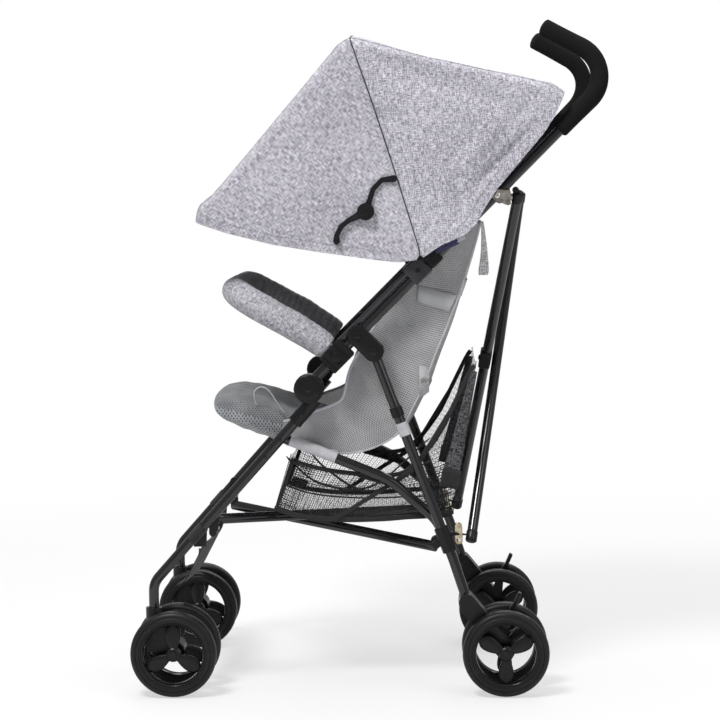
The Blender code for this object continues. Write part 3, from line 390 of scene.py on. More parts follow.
def quads(rows, columns, around=False):
    """The faces of a grid of points; around closes it in its second direction."""
    wide = columns if around else columns - 1
    i, j = np.meshgrid(np.arange(rows - 1), np.arange(wide), indexing="ij")
    k = (j + 1) % columns
    grid = np.stack([i * columns + j, (i + 1) * columns + j, (i + 1) * columns + k, i * columns + k], -1)
    return grid.reshape(-1, 4).tolist()


def run_along(line):
    """The length from a line's start to each of its points."""
    return np.concatenate([[0], np.cumsum(np.linalg.norm(np.diff(line, axis=0), axis=1))])


def unit(ways):
    return ways / np.linalg.norm(ways, axis=1)[:, None]


def surface(name, points, material, thick):
    """A cloth of some thickness over a grid of points. Its cloth map runs by the mean length along each direction."""
    down = np.concatenate([[0], np.cumsum(np.linalg.norm(np.diff(points, axis=0), axis=2).mean(1))])
    over = np.concatenate([[0], np.cumsum(np.linalg.norm(np.diff(points, axis=1), axis=2).mean(0))])
    maps = np.stack(np.meshgrid(down, over, indexing="ij"), -1)
    made = mesh_piece(name, points, quads(*points.shape[:2]), maps, material)
    shell = made.modifiers.new("cloth", "SOLIDIFY")
    shell.thickness, shell.offset, shell.use_even_offset = thick, 0.0, True
    return made


def rounded(points, radii, step=3.0):
    """A line through points whose corners are arcs of the given radii."""
    points = [Vector(p) for p in points]
    line = [points[0]]
    for before, corner, after, radius in zip(points, points[1:], points[2:], radii):
        into, out = (corner - before).normalized(), (after - corner).normalized()
        turn = into.angle(out)
        if radius < 1e-6 or turn < 1e-3:
            line.append(corner)
            continue
        count = max(2, math.ceil(math.degrees(turn) / step))
        centre = corner + (out - into).normalized() * (radius / math.cos(turn / 2))
        axis = into.cross(out).normalized()
        arm = corner - into * (radius * math.tan(turn / 2)) - centre
        line += [centre + Matrix.Rotation(turn * i / count, 3, axis) @ arm for i in range(count + 1)]
    line.append(points[-1])
    return np.array(line, float)


def spline(points, count):
    """A smooth line through the points (Catmull-Rom), spaced evenly by length."""
    p = np.array(points, float)
    p = np.vstack([2 * p[0] - p[1], p, 2 * p[-1] - p[-2]])
    t = np.linspace(0, 1, 24, endpoint=False)[:, None]
    parts = [0.5 * (2 * b + (c - a) * t + (2 * a - 5 * b + 4 * c - d) * t ** 2 + (3 * b - a - 3 * c + d) * t ** 3)
             for a, b, c, d in zip(p, p[1:], p[2:], p[3:])]
    return spaced(np.vstack([*parts, p[-2:-1]]), count)


def spaced(line, count):
    """The same line with points at even distances."""
    line = np.asarray(line, float)
    run = run_along(line)
    want = np.linspace(0, run[-1], count)
    return np.stack([np.interp(want, run, line[:, i]) for i in range(line.shape[1])], -1)


def frames(path, up=(0, 1, 0)):
    """At each point of a path its direction, a side square to it and to up, and the third direction."""
    tangent = unit(np.gradient(path, axis=0))
    side = np.cross(tangent, np.array(up, float))
    side /= np.maximum(np.linalg.norm(side, axis=1), 1e-9)[:, None]
    return tangent, side, np.cross(side, tangent)


def pipe(name, path, radius, material, sides=28, up=(0, 1, 0), relief=None, flat=1.0, dome=0.0):
    """A round bar along a path: points = path + radius (cos a side + flat sin a other). relief adds to the radius
    as a function of the length along it and the angle round it. dome is the length of the rounded ends."""
    path = np.asarray(path, float)
    radius = np.broadcast_to(np.asarray(radius, float), (len(path),)).copy()
    tangent, side, other = frames(path, up)
    if dome:
        quarter = np.linspace(0, np.pi / 2, 6)
        lead = path[0] - tangent[0] * dome * np.cos(quarter)[:-1, None]
        tail = path[-1] + tangent[-1] * dome * np.sin(quarter)[1:, None]
        path = np.vstack([lead, path, tail])
        radius = np.concatenate([radius[0] * np.sin(quarter)[:-1], radius, radius[-1] * np.cos(quarter)[1:]])
        radius = np.maximum(radius, 1e-5)
        side, other = (np.vstack([way[:1].repeat(5, 0), way, way[-1:].repeat(5, 0)]) for way in (side, other))
    angle = np.linspace(0, 2 * np.pi, sides, endpoint=False)
    run = run_along(path)
    reach = radius[:, None] * np.ones(sides)
    if relief is not None:
        reach = reach + relief(run[:, None], angle[None, :])
    points = (path[:, None] + reach[..., None] * (np.cos(angle)[None, :, None] * side[:, None]
                                                  + flat * np.sin(angle)[None, :, None] * other[:, None]))
    rows = len(path)
    points = np.vstack([points.reshape(-1, 3), path[:1], path[-1:]])
    ring = np.arange(sides)
    after = (ring + 1) % sides
    start, end = rows * sides, rows * sides + 1
    last = (rows - 1) * sides
    caps = np.vstack([np.stack([ring, after, np.full(sides, start)], -1),
                      np.stack([last + after, last + ring, np.full(sides, end)], -1)])
    maps = np.stack([run[:, None] * np.ones(sides), np.broadcast_to(angle * radius.max(), (rows, sides))], -1)
    maps = np.vstack([maps.reshape(-1, 2), [[0, 0], [run[-1], 0]]])
    made = mesh_piece(name, points, quads(rows, sides, True) + caps.tolist(), maps, material)
    made.data.set_sharp_from_angle(angle=math.radians(50))
    worked(made.data, face_out)
    return made


def turned(name, profile, centre, axis, material, steps=72):
    """A turned piece: a closed outline of (radius, height) spun round an axis through centre."""
    profile = np.array(profile, float)
    axis = np.array(axis, float) / np.linalg.norm(axis)
    aside = np.cross(axis, (0.0, 0.0, 1.0) if abs(axis[2]) < 0.9 else (1.0, 0.0, 0.0))
    aside /= np.linalg.norm(aside)
    third = np.cross(axis, aside)
    angle = np.linspace(0, 2 * np.pi, steps, endpoint=False)
    spin = np.cos(angle)[:, None] * aside + np.sin(angle)[:, None] * third
    points = (np.array(centre, float) + profile[None, :, 0, None] * spin[:, None]
              + profile[None, :, 1, None] * axis)
    columns = len(profile)
    i, j = np.meshgrid(np.arange(steps), np.arange(columns), indexing="ij")
    ni, nj = (i + 1) % steps, (j + 1) % columns
    faces = np.stack([i * columns + j, ni * columns + j, ni * columns + nj, i * columns + nj], -1).reshape(-1, 4)
    made = mesh_piece(name, points, faces.tolist(), None, material)
    worked(made.data, join_doubles, face_out)
    made.data.set_sharp_from_angle(angle=math.radians(38))
    return made


def disc(name, centre, axis, radius, height, material, round_off=0.3, socket=True):
    """A low round head with a rounded rim; a screw's has a shallow socket in its middle."""
    r, h = radius, height
    o = min(r, h) * round_off
    rim = [(0, -h * 0.6), (r, -h * 0.6), (r, h - o), (r - o * 0.3, h - o * 0.3), (r - o, h)]
    hollow, domed = [(r * 0.42, h * 1.04), (r * 0.34, h * 0.55), (0, h * 0.5)], [(r * 0.5, h * 1.08), (0, h * 1.12)]
    return turned(name, rim + (hollow if socket else domed), centre, axis, material, 28)


def picked(made):
    bpy.ops.object.select_all(action="DESELECT")
    bpy.context.view_layer.objects.active = made
    made.select_set(True)


def merged(name, first, *others):
    """Several pieces of one finish joined into one."""
    picked(first)
    for piece in others:
        piece.select_set(True)
    bpy.ops.object.join()
    first.name = first.data.name = name
    return first


def ribbon(name, path, width, material, thick, up=(0, 1, 0)):
    """A flat tape along a path: its width lies along up, square to the way it runs."""
    path = np.asarray(path, float)
    other = frames(path, up)[2]
    share = np.linspace(-0.5, 0.5, 5)
    return surface(name, path[:, None] + other[:, None] * (share[None, :, None] * width), material, thick)


def remade(solid, material, bevel=0.0007):
    """A CAD solid's own shape again with its doubles merged, rounded edges and a moulded finish."""
    mesh = frame["nodes"][solid].data.copy()
    mesh.name = solid + "_look"
    worked(mesh, join_flats)
    mesh.materials.clear()
    mesh.polygons.foreach_set("material_index", np.zeros(len(mesh.polygons), np.int32))
    made = eased(placed(solid + "_look", mesh, material), bevel, 35)
    mesh.set_sharp_from_angle(angle=math.radians(45))
    return stands(made, solid)


BODY = {node: body for body, nodes in frame["record"]["behaviour"]["bodies"].items() for node in nodes}


def stands(made, solid, body=None):
    """The piece takes a CAD solid's place on its body."""
    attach(made, body or BODY[solid])
    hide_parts(solid)
    return made


def goes(made, body):
    """A piece that scene.py adds: trim, or a fastener."""
    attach(made, body)
    return made


def narrows(made):
    """Applies the piece's modifiers and gives it a mesh of its own."""
    for step in list(made.modifiers):
        picked(made)
        bpy.ops.object.modifier_apply(modifier=step.name)
    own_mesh(made)
    return made


def at(point, y):
    return (point[0], y, point[1])


def handle(x):
    """The point of the handle tube's middle line at x."""
    return (x, x + RISE)


# ---------------------------------------------------------------- frame
LEG_TOP, LEG_CORNER = (-0.0810, 0.4630), (-0.3390, 0.1734)
PIVOT = (0.0099, 0.5366)  # the rear leg's pivot
HUB = (-0.0913, 0.4789)
SEAT_FRONT = (-0.1328, 0.3984)  # the seat tube's front pivot
FLOOR_FRONT, FLOOR_REAR = (-0.2410, 0.2585), (0.1050, 0.2320)  # the floor bars' ends
REAR_KNEE, REAR_SHIN = (0.0268, 0.4914), (0.1319, 0.2082)  # the straight part of the rear leg
RAIL_SCREW = (0.082 - 0.004 * math.sqrt(0.5), 0.082 + RISE + 0.004 * math.sqrt(0.5))


def on_leg(distance):
    """The point of the front leg's middle line at a distance from its top."""
    share = distance / math.dist(LEG_TOP, LEG_CORNER)
    return tuple(a + (b - a) * share for a, b in zip(LEG_TOP, LEG_CORNER))


def bar_between(name, start, end, radius):
    return pipe(name, spaced([start, end], 4), radius, PAINT, 20, up=(0.3, 0.2, 0.93))


def side_frame(side, s):
    """One side of the frame: its tubes, the foam grip, the moulded parts, and the fasteners that show."""
    y, out = s * FRAME_Y, (0, s, 0)
    start, bend, tip = at(handle(0.296), y), at((0.3935, 0.9700), y - s * 0.0155), at((0.2790, 1.0320), y - s * 0.0355)
    line = rounded([at(handle(-0.084), y), start, bend, tip], [0.08, 0.053])
    stands(pipe(side + "_handle_bar", line, TUBE, PAINT, 40), side + "_pusher_tube")
    reach = Vector(start) - Vector(bend)
    foam = rounded([Vector(bend) + reach.normalized() * (reach.length - 0.006), bend, tip], [0.053])
    way = foam[-1] - foam[-2]
    foam = spaced(np.vstack([foam, foam[-1] + way / np.linalg.norm(way) * 0.002]), 60)
    wear = 0.0143 - 0.0013 * np.exp(-np.linspace(0, 6, 60) ** 2) - 0.0004 * np.sin(np.linspace(0, 9, 60)) ** 2
    stands(pipe(side + "_foam_grip", foam, wear, FOAM, 44, dome=0.006), side + "_grip")
    line = rounded([at(LEG_TOP, y), at(LEG_CORNER, y), at((LEG_CORNER[0], 0.118), y)], [0.035])
    stands(pipe(side + "_front_leg_tube", line, TUBE, PAINT, 40), side + "_front_leg")
    # posts, catch and rivets that the front leg carries
    post = bar_between(side + "_floor_post", at(FLOOR_FRONT, y - s * 0.004), at(FLOOR_FRONT, s * 0.1431), 0.0053)
    bolt = bar_between(side + "_seat_bolt", at(SEAT_FRONT, y - s * 0.001), at(SEAT_FRONT, s * 0.1633), 0.004)
    low = on_leg(math.dist(LEG_TOP, LEG_CORNER) * (FLOOR_FRONT[0] - LEG_TOP[0]) / (LEG_CORNER[0] - LEG_TOP[0]))
    catch = lens(side + "_leg_catch", [(*low, 0.0092), (-0.245, 0.2520, 0.006)], y - s * 0.009, y - s * 0.002, PLASTIC)
    for piece in (post, bolt, catch):
        goes(piece, side + "_frame")
    for distance, radius, lift, socket in ((0.0313, 0.0042, 0.0112, True), (0.0856, 0.0034, 0.0074, False),
                                           (0.120, 0.0030, 0.0074, False)):
        rivet = disc(f"{side}_leg_rivet_{int(distance * 1000)}", at(on_leg(distance), y + s * lift), out, radius,
                     0.0016, GLOSSY, socket=socket)
        goes(rivet, side + "_frame")
    line = rounded([at(p, y) for p in (PIVOT, REAR_KNEE, REAR_SHIN, (0.1527, 0.1448), (0.1560, 0.1350))], [0.06] * 3)
    stands(pipe(side + "_rear_leg_tube", line, TUBE, PAINT, 40), side + "_rear_leg")
    line = spline([at(p, s * 0.155) for p in (
        (0.1190, 0.2430), (0.101, 0.272), (0.066, 0.303), (0.043, 0.3235), (0.022, 0.3365), (-0.004, 0.3475),
        (-0.049, 0.366), (-0.090, 0.383), SEAT_FRONT)], 60)
    stands(pipe(side + "_seat_tube_bar", line, TUBE, PAINT, 32, dome=0.004), side + "_seat_tube")
    goes(pipe(side + "_seat_sleeve", line[42:58], 0.0088, PALE, 28), side + "_seat_tube_body")
    for solid, material, bevel in (
            ("hub", PLASTIC, 0.0011), ("link_bracket", PLASTIC, 0.0011), ("bumper_mount", PLASTIC, 0.0007),
            ("canopy_clamp", PLASTIC, 0.0007), ("leg_bracket", PLASTIC, 0.0007), ("rear_housing", PLASTIC, 0.0007),
            ("caster", PLASTIC, 0.0011), ("brake_lever", PLASTIC, 0.0007), ("side_rail", RAIL, 0.0009),
            ("top_bracket", ZINC, 0.0005), ("mid_bow", PLASTIC, 0.0004), ("front_bow", PLASTIC, 0.0004),
            ("stay_upper", GLOSSY, 0.0008), ("stay_lower", GLOSSY, 0.0008)):
        remade(f"{side}_{solid}", material, bevel)
    mount = handle(-0.047)
    upper, lower = side + "_stay_upper_body", side + "_stay_lower_body"
    for label, where, lift, radius, height, material, round_off, socket, body in (
            ("hub_cap", HUB, y + s * 0.0146, 0.0185, 0.0013, PLASTIC, 0.8, False, side + "_frame"),
            ("hub_screw", HUB, y + s * 0.0163, 0.0052, 0.0014, GLOSSY, 0.3, True, side + "_frame"),
            ("link_screw_a", handle(-0.0149), y + s * 0.0108, 0.0050, 0.0020, GLOSSY, 0.3, True, side + "_frame"),
            ("link_screw_b", PIVOT, y + s * 0.0108, 0.0056, 0.0020, GLOSSY, 0.3, True, side + "_frame"),
            ("mount_boss", mount, y + s * 0.0150, 0.0088, 0.0030, PLASTIC, 0.5, False, side + "_frame"),
            ("mount_screw", mount, y + s * 0.0183, 0.0038, 0.0014, GLOSSY, 0.3, True, side + "_frame"),
            ("rail_screw", RAIL_SCREW, y + s * 0.0108, 0.0036, 0.0012, GLOSSY, 0.3, True, side + "_frame"),
            ("stay_cap", (0.0, 0.753), s * 0.2066, 0.0058, 0.0016, GLOSSY, 0.3, True, lower),
            ("stay_top_rivet", (0.045, 0.803), s * 0.2013, 0.0036, 0.0012, GLOSSY, 0.3, True, upper),
            ("stay_foot_rivet", (-0.045, 0.707), s * 0.2046, 0.0036, 0.0012, GLOSSY, 0.3, True, lower)):
        head = disc(f"{side}_{label}", at(where, lift), out, radius, height, material, round_off, socket)
        goes(head, body)


def lens(name, circles, low, high, material):
    """A flat plate between two heights along y, whose outline is the hull of circles, with rounded edges."""
    angle = np.linspace(0, 2 * np.pi, 20, endpoint=False)
    points = np.vstack([np.stack([x + r * np.cos(angle), z + r * np.sin(angle)], -1) for x, z, r in circles])

    def hull(shape):
        for y in (low, high):
            for x, z in points:
                shape.verts.new((x, y, z))
        bmesh.ops.convex_hull(shape, input=shape.verts)
        bmesh.ops.delete(shape, geom=[v for v in shape.verts if not v.link_faces], context="VERTS")
        bmesh.ops.dissolve_limit(shape, angle_limit=0.01, verts=shape.verts, edges=shape.edges)

    mesh = bpy.data.meshes.new(name)
    worked(mesh, hull, face_out)
    return eased(placed(name, mesh, material), 0.0007, 40)


for side, s in SIDES:
    side_frame(side, s)


# ---------------------------------------------------------------- wheels
WHEEL_R, RIM_R, HUB_R = 0.0675, 0.0468, 0.004
WHEEL_APART = 0.0345  # from a pair's leg to each of its wheels
BLADE_WIDTH = ([0.004, 0.011, 0.016, 0.022, 0.028, 0.034, 0.039, 0.0425, 0.0450, 0.0468],
               [0.0058, 0.0062, 0.0084, 0.0104, 0.0116, 0.0119, 0.0110, 0.0090, 0.0064, 0.0052])


def spoke(angle):
    """A leaf-shaped blade from hub to rim: half width w(r), thickness 1.4 mm + 2.6 mm sqrt(1 - t^2) across it, and a
    rise towards the hub of 2.6 mm (1 - r^2)."""
    r = np.linspace(HUB_R, RIM_R, 34)[:, None]
    share = np.linspace(-1, 1, 17)[None]
    thick = 0.0014 + 0.0026 * np.sqrt(np.clip(1 - share ** 2, 0, 1)) * np.ones((34, 1))
    lift = 0.0026 * (1 - ((r - HUB_R) / 0.043) ** 2)
    across = np.interp(r, *BLADE_WIDTH) * share
    x = r * math.cos(angle) - across * math.sin(angle)
    z = r * math.sin(angle) + across * math.cos(angle)
    front, back = (np.stack([x, way * (thick + lift), z], -1) for way in (1, -1))
    grid = np.concatenate([front, back[:, ::-1]], axis=1)
    blade = mesh_piece("blade", grid, quads(34, 34, True), None, PLASTIC)
    worked(blade.data, fill_ends, face_out)
    return blade


def wheel_meshes():
    """Tyre, rim and hub are turned outlines; three blades join hub and rim."""
    half = [(WHEEL_R, 0.0), (0.0674, 0.0030), (0.0668, 0.0064), (0.0655, 0.0092), (0.0634, 0.0110), (0.0606, 0.0118),
            (0.0596, 0.0116), (0.0590, 0.0108), (0.0583, 0.0109), (0.0576, 0.0116), (0.0556, 0.0118), (0.0538, 0.0112),
            (0.0532, 0.0100), (0.0505, 0.0096), (0.0495, 0.0060)]
    rim = [(0.0500, 0.0092), (0.0497, 0.0103), (0.0484, 0.0106), (0.0474, 0.0098), (0.0468, 0.0080), (0.0462, 0.0030),
           (0.0461, 0.0)]
    hub = [(0.0044, -0.0092), (0.0090, -0.0092), (0.0110, -0.0075), (0.0115, -0.004), (0.0115, 0.004),
           (0.0110, 0.0075), (0.0090, 0.0092), (0.0044, 0.0092)]
    tyre = half + [(r, -h) for r, h in half[:0:-1]]
    rim = rim + [(r, -h) for r, h in rim[-2::-1]]
    made = [turned("wheel_" + name, outline, (0, 0, 0), (0, 1, 0), material, steps)
            for name, outline, material, steps in (("tyre", tyre, TYRE, 96), ("rim", rim, GLOSSY, 96),
                                                   ("hub", hub, PLASTIC, 48))]
    blades = [spoke(math.radians(90 + 120 * index)) for index in range(3)]
    return made[0], merged("wheel_centre", *made[1:], *blades)


ring, centre = wheel_meshes()
for side, s in SIDES:
    for end, x, turn, carrier in (("front", -0.3054, 0.0, "_caster_body"), ("rear", 0.2124, 60.0, "_rear_leg_body")):
        for name, offset in (("outer", 1), ("inner", -1)):
            solid = f"{side}_{end}_wheel_{name}"
            place = Matrix.Translation((x, s * (FRAME_Y + offset * WHEEL_APART), WHEEL_R)) @ Matrix.Rotation(
                math.radians(turn), 4, "Y")
            for source, label in ((ring, "tyre"), (centre, "centre")):
                made = source.copy()
                made.data = source.data.copy()
                made.data.transform(place)
                made.name = made.data.name = f"{solid}_{label}"
                scene.collection.objects.link(made)
                if label == "tyre":
                    stands(made, solid)
                else:
                    goes(made, BODY[solid])
        for name, offset in (("outer", 1), ("inner", -1)):
            y = s * FRAME_Y + s * offset * (WHEEL_APART + 0.0092)
            goes(disc(f"{side}_{end}_axle_{name}", (x, y, WHEEL_R), (0, s * offset, 0), 0.0062, 0.0026, GLOSSY, 0.9,
                      False), side + carrier)
for piece in (ring, centre):
    bpy.data.objects.remove(piece, do_unlink=True)


# ---------------------------------------------------------------- tall crossed bars and floor bars
NORMAL = np.array([0.98525313, 0.0, -0.17110312])  # square to the plane in which the tall bars cross
X_TOP, X_BOTTOM = (0.2430, 0.7705), (0.1520, 0.2465)
X_END, FLOOR_END = 0.163, 0.134  # from the middle plane to the ends of the tall bars and of the floor bars
LAYER = 0.009  # from the crossing's middle to each tall bar's own layer
EYE = [(0, -0.0068), (0.0060, -0.0066), (0.0082, -0.0046), (0.0085, 0), (0.0082, 0.0046), (0.0060, 0.0066), (0, 0.0068)]
for name, s in (("x_bar_a", -1), ("x_bar_b", 1)):
    top = np.array(at(X_TOP, s * X_END)) + NORMAL * s * LAYER
    foot = np.array(at(X_BOTTOM, -s * X_END)) + NORMAL * s * LAYER
    way = (foot - top) / np.linalg.norm(foot - top)
    bar = pipe(name + "_tube", spaced([top - way * 0.009, foot + way * 0.009], 12), TUBE, PAINT, 40, up=(1, 0, 0))
    stands(bar, name)
    for label, end, out in (("top", top, -way), ("foot", foot, way)):
        cap = pipe(f"{name}_{label}_cap", spaced([end - out * 0.006, end + out * 0.0085], 4), 0.0090, PLASTIC, 32,
                   up=(1, 0, 0), dome=0.003)
        goes(cap, BODY[name])
remade("x_centre_bracket", PLASTIC)
for side, s in SIDES:
    rear, front = (np.array(at(p, y)) for p, y in ((FLOOR_REAR, s * FLOOR_END), (FLOOR_FRONT, -s * FLOOR_END)))
    lift = np.array([FLOOR_FRONT[1] - FLOOR_REAR[1], 0, FLOOR_REAR[0] - FLOOR_FRONT[0]])
    lift = lift / np.linalg.norm(lift) * (s * 0.0095)
    bar = pipe(side + "_floor_bar_tube", spaced([rear + lift, front + lift], 24), 0.0084, PAINT, 32, flat=0.55,
               dome=0.004)
    stands(bar, side + "_floor_bar")
    for label, where in (("rear", rear), ("front", front)):
        eye = turned(f"{side}_floor_bar_{label}_eye", EYE, where, (0, 1, 0), PLASTIC, 32)
        goes(eye, side + "_floor_bar_body")
    # universal joint at the foot of the tall bar: two bright forks
    x, _, z = np.array(at(X_BOTTOM, s * X_END)) - NORMAL * (s * LAYER) - NORMAL * 0.0165
    for i in range(2):
        goes(lens(f"{side}_fork_{i}", [(x - 0.004, z - 0.010, 0.0062), (x - 0.0045, z + 0.012, 0.0058)],
                  s * (0.1585 + i * 0.0085), s * (0.1600 + i * 0.0085), BRASSY), side + "_rear_leg_body")
    for label, where, radius, height, material, round_off, body, slot in (
            ("fork_rivet", (x - 0.004, s * 0.1688, z - 0.009), 0.0036, 0.0018, STEEL, 0.9, "rear_leg", "zinc_plate"),
            ("top_ball", (X_TOP[0] - 0.0125, s * 0.1745, X_TOP[1] + 0.0135), 0.0052, 0.0048, PLASTIC, 0.95,
             "top_bracket", "black_plastic"),
            ("top_rivet", (0.2017, s * (FRAME_Y + 0.0124), 0.7764), 0.0046, 0.0016, STEEL, 0.7, "top_bracket",
             "zinc_plate")):
        head = disc(f"{side}_{label}", where, (0, s, 0), radius, height, material, round_off, False)
        goes(head, f"{side}_{body}_body")


# ---------------------------------------------------------------- canopy
WALL = 0.1972  # half the canopy's width
CROWN = 0.0145  # how far its top bows up in the middle
SIDE_ROWS, TURN_ROWS = 64, 8  # rows of a panel's grid on each side wall, and round each top edge
POCKET = (0.083, 0.680)  # the bows' pivot, from which every seam starts
FRONT_HEM = [POCKET, (0.050, 0.676), (0.015, 0.680), (-0.074, 0.693), (-0.145, 0.705), (-0.215, 0.723), (-0.262, 0.739)]
SEAM = [POCKET, (0.0812, 0.696), (0.0478, 0.805), (0.0138, 0.911), (-0.0224, 1.0160)]
FRONT_TOP = [(-0.262, 0.739), (-0.2605, 0.752), (-0.255, 0.764), (-0.238, 0.776), (-0.177, 0.846), (-0.099, 0.936),
             (-0.040, 1.006), (-0.0224, 1.0160)]
REAR_TOP = [(-0.0216, 1.0160), (-0.010, 1.0145), (0.036, 1.002), (0.098, 0.985), (0.208, 0.961), (0.270, 0.946),
            (0.290, 0.941), (0.3035, 0.930)]
REAR_HEM = [POCKET, (0.114, 0.701), (0.152, 0.717), (0.169, 0.734), (0.180, 0.755), (0.201, 0.787), (0.273, 0.872),
            (0.287, 0.894), (0.3035, 0.930)]


def along_line(line, shares):
    """Points at the given shares of a line's length."""
    line = np.array(line, float)
    run = run_along(line)
    return np.stack([np.interp(shares * run[-1], run, line[:, i]) for i in range(2)], -1)


def hood_side(first, second, top, reach, turn):
    """A point of a panel's side wall: a patch whose edges are the two seams, from the pocket by the bows' pivot
    (reach 0), and the top edge (reach 1): (1-t) F(r) + t S(r) + r T(t) - r ((1-t) T(0) + t T(1))."""
    f, s = along_line(first, reach), along_line(second, reach)
    edge = along_line(top, turn)
    r, t = reach[None, :, None], turn[:, None, None]
    return (1 - t) * f[None] + t * s[None] + r * edge[:, None] - r * ((1 - t) * edge[0] + t * edge[-1])


def ridge(points, start, end, width, height):
    """A soft fold: height exp(-(d / width)^2), where d is the distance from a line between two points."""
    a, b = np.array(start), np.array(end)
    share = np.clip(((points - a) @ (b - a)) / ((b - a) @ (b - a)), 0, 1)
    away = np.linalg.norm(points - (a + share[..., None] * (b - a)), axis=-1)
    fade = np.sin(np.pi * np.clip(share * 0.9 + 0.05, 0, 1)) ** 0.5
    return height * np.exp(-(away / width) ** 2) * fade


def cut_area(points):
    """The area of a grid of points: the cross product of two sides of each quad."""
    first, second = points[1:, :-1] - points[:-1, :-1], points[:-1, 1:] - points[:-1, :-1]
    return float(np.linalg.norm(np.cross(first, second), axis=-1).sum())


def hood(name, first, second, top, weave, folds, across):
    """A canopy panel as one cloth: up one side wall, round the top edge, over the crown and down the other wall.
    Its cloth map is the side wall's own plane, carried on over the top square to the top edge and turned by weave."""
    corner, columns = 0.0105, 110
    shoulder = 1 - 0.032
    arc = np.linspace(0, np.pi / 2, TURN_ROWS + 1)[1:]
    flat = np.linspace(-(WALL - corner), WALL - corner, 61)[1:-1]
    reach = np.concatenate([np.linspace(0.015, shoulder, SIDE_ROWS), shoulder + (1 - shoulder) * np.sin(arc)])
    y = np.concatenate([np.full(SIDE_ROWS, -WALL), -WALL + corner * (1 - np.cos(arc))])
    reach = np.concatenate([reach, np.ones(len(flat)), reach[::-1]])
    y = np.concatenate([y, flat, -y[::-1]])
    turn = np.linspace(0, 1, columns)
    xz = hood_side(first, second, top, reach, turn)
    rise = CROWN * np.clip(1 - (y / WALL) ** 2, 0, 1)
    points = np.stack([xz[..., 0], np.broadcast_to(y, xz.shape[:2]), xz[..., 1] + rise], -1)
    wall = np.clip((np.abs(y) - WALL + 0.006) / 0.006, 0, 1)[None] * np.sin(np.pi * np.clip(reach, 0, 1))[None] ** 0.4
    points[..., 1] += np.sign(y)[None] * wall * folds(xz)
    points[..., 2] += across(turn[:, None], (y / WALL)[None]) * (1 - wall)
    edge = along_line(top, turn)
    tangent = unit(np.gradient(edge, axis=0))
    normal = np.stack([-tangent[:, 1], tangent[:, 0]], -1)
    normal *= np.sign((normal * (edge - np.array(POCKET))).sum(1))[:, None]
    maps = xz + normal[:, None] * np.clip(y + WALL, 0, None)[None, :, None]
    mirrored = edge[:, None] * 2 - xz + normal[:, None] * 2 * WALL
    maps = np.where((y > WALL - 1e-6)[None, :, None], mirrored, maps)
    c, s = math.cos(weave), math.sin(weave)
    maps = np.stack([maps[..., 0] * c + maps[..., 1] * s, maps[..., 1] * c - maps[..., 0] * s], -1)
    made = mesh_piece(name, points, quads(columns, len(y)), maps, HEATHER)
    worked(made.data, face_out)
    shell = made.modifiers.new("cloth", "SOLIDIFY")
    shell.thickness, shell.offset = 0.0012, -1
    return made, points


def front_folds(p):
    """Broad shallow waves of the taut front panel, one soft tuck, and puckers along its hem."""
    x, z = p[..., 0], p[..., 1]
    wave = 0.0007 * np.sin(x * 46 + z * 21) * np.sin(z * 37 - x * 12)
    near = np.exp(-((z - (0.676 + 0.16 * np.clip(-x, 0, 1))) / 0.016) ** 2)
    tuck = ridge(p, (-0.190, 0.800), (-0.020, 0.900), 0.0180, -0.0016)
    return -0.0009 + wave + tuck + near * 0.0005 * np.sin(x * 420)


REAR_FOLDS = [((0.262, 0.885), (0.158, 0.780), 0.0085, -0.0078), ((0.236, 0.905), (0.124, 0.800), 0.0120, 0.0046),
              ((0.055, 0.905), (0.122, 0.735), 0.0135, -0.0075), ((0.085, 0.905), (0.134, 0.760), 0.0100, 0.0032),
              ((0.135, 0.850), (0.148, 0.742), 0.0100, -0.0052), ((0.078, 0.800), (0.100, 0.712), 0.0090, -0.0042),
              ((0.020, 0.985), (0.235, 0.905), 0.0170, -0.0075), ((0.262, 0.930), (0.190, 0.850), 0.0100, -0.0050),
              ((0.150, 0.935), (0.200, 0.860), 0.0130, 0.0040)]


def rear_folds(p):
    """Soft diagonal folds that gather towards the rear panel's lower corner."""
    return sum(ridge(p, *fold) for fold in REAR_FOLDS) - 0.0016 + 0.0008 * np.sin(p[..., 0] * 60 + p[..., 1] * 33)


def taut_top(turn, y):
    """The top sags a little between the bows and the edges."""
    return -0.0030 * np.sin(np.pi * turn) * (1 - y ** 2) + 0.0008 * np.sin(y * 9 + turn * 5) * np.sin(np.pi * turn)


def loose_top(turn, y):
    """The rear top sags between the mid bow and the handles, with two soft cross folds."""
    sag = -0.0050 * np.sin(np.pi * turn) * (1 - y ** 2)
    return sag + 0.0015 * np.sin(turn * 19 + y * 1.5) * (1 - y ** 4) * np.sin(np.pi * turn)


front, front_points = hood("canopy_front_panel", FRONT_HEM, SEAM, FRONT_TOP, math.radians(42), front_folds, taut_top)
rear, rear_points = hood("canopy_rear_panel", SEAM, REAR_HEM, REAR_TOP, math.radians(8), rear_folds, loose_top)
stands(front, "canopy_front", "canopy_front_body")
stands(rear, "canopy_rear", "left_frame")
CANOPY_TRIMS = []


def on_canopy(made, body):
    CANOPY_TRIMS.append(goes(made, body))


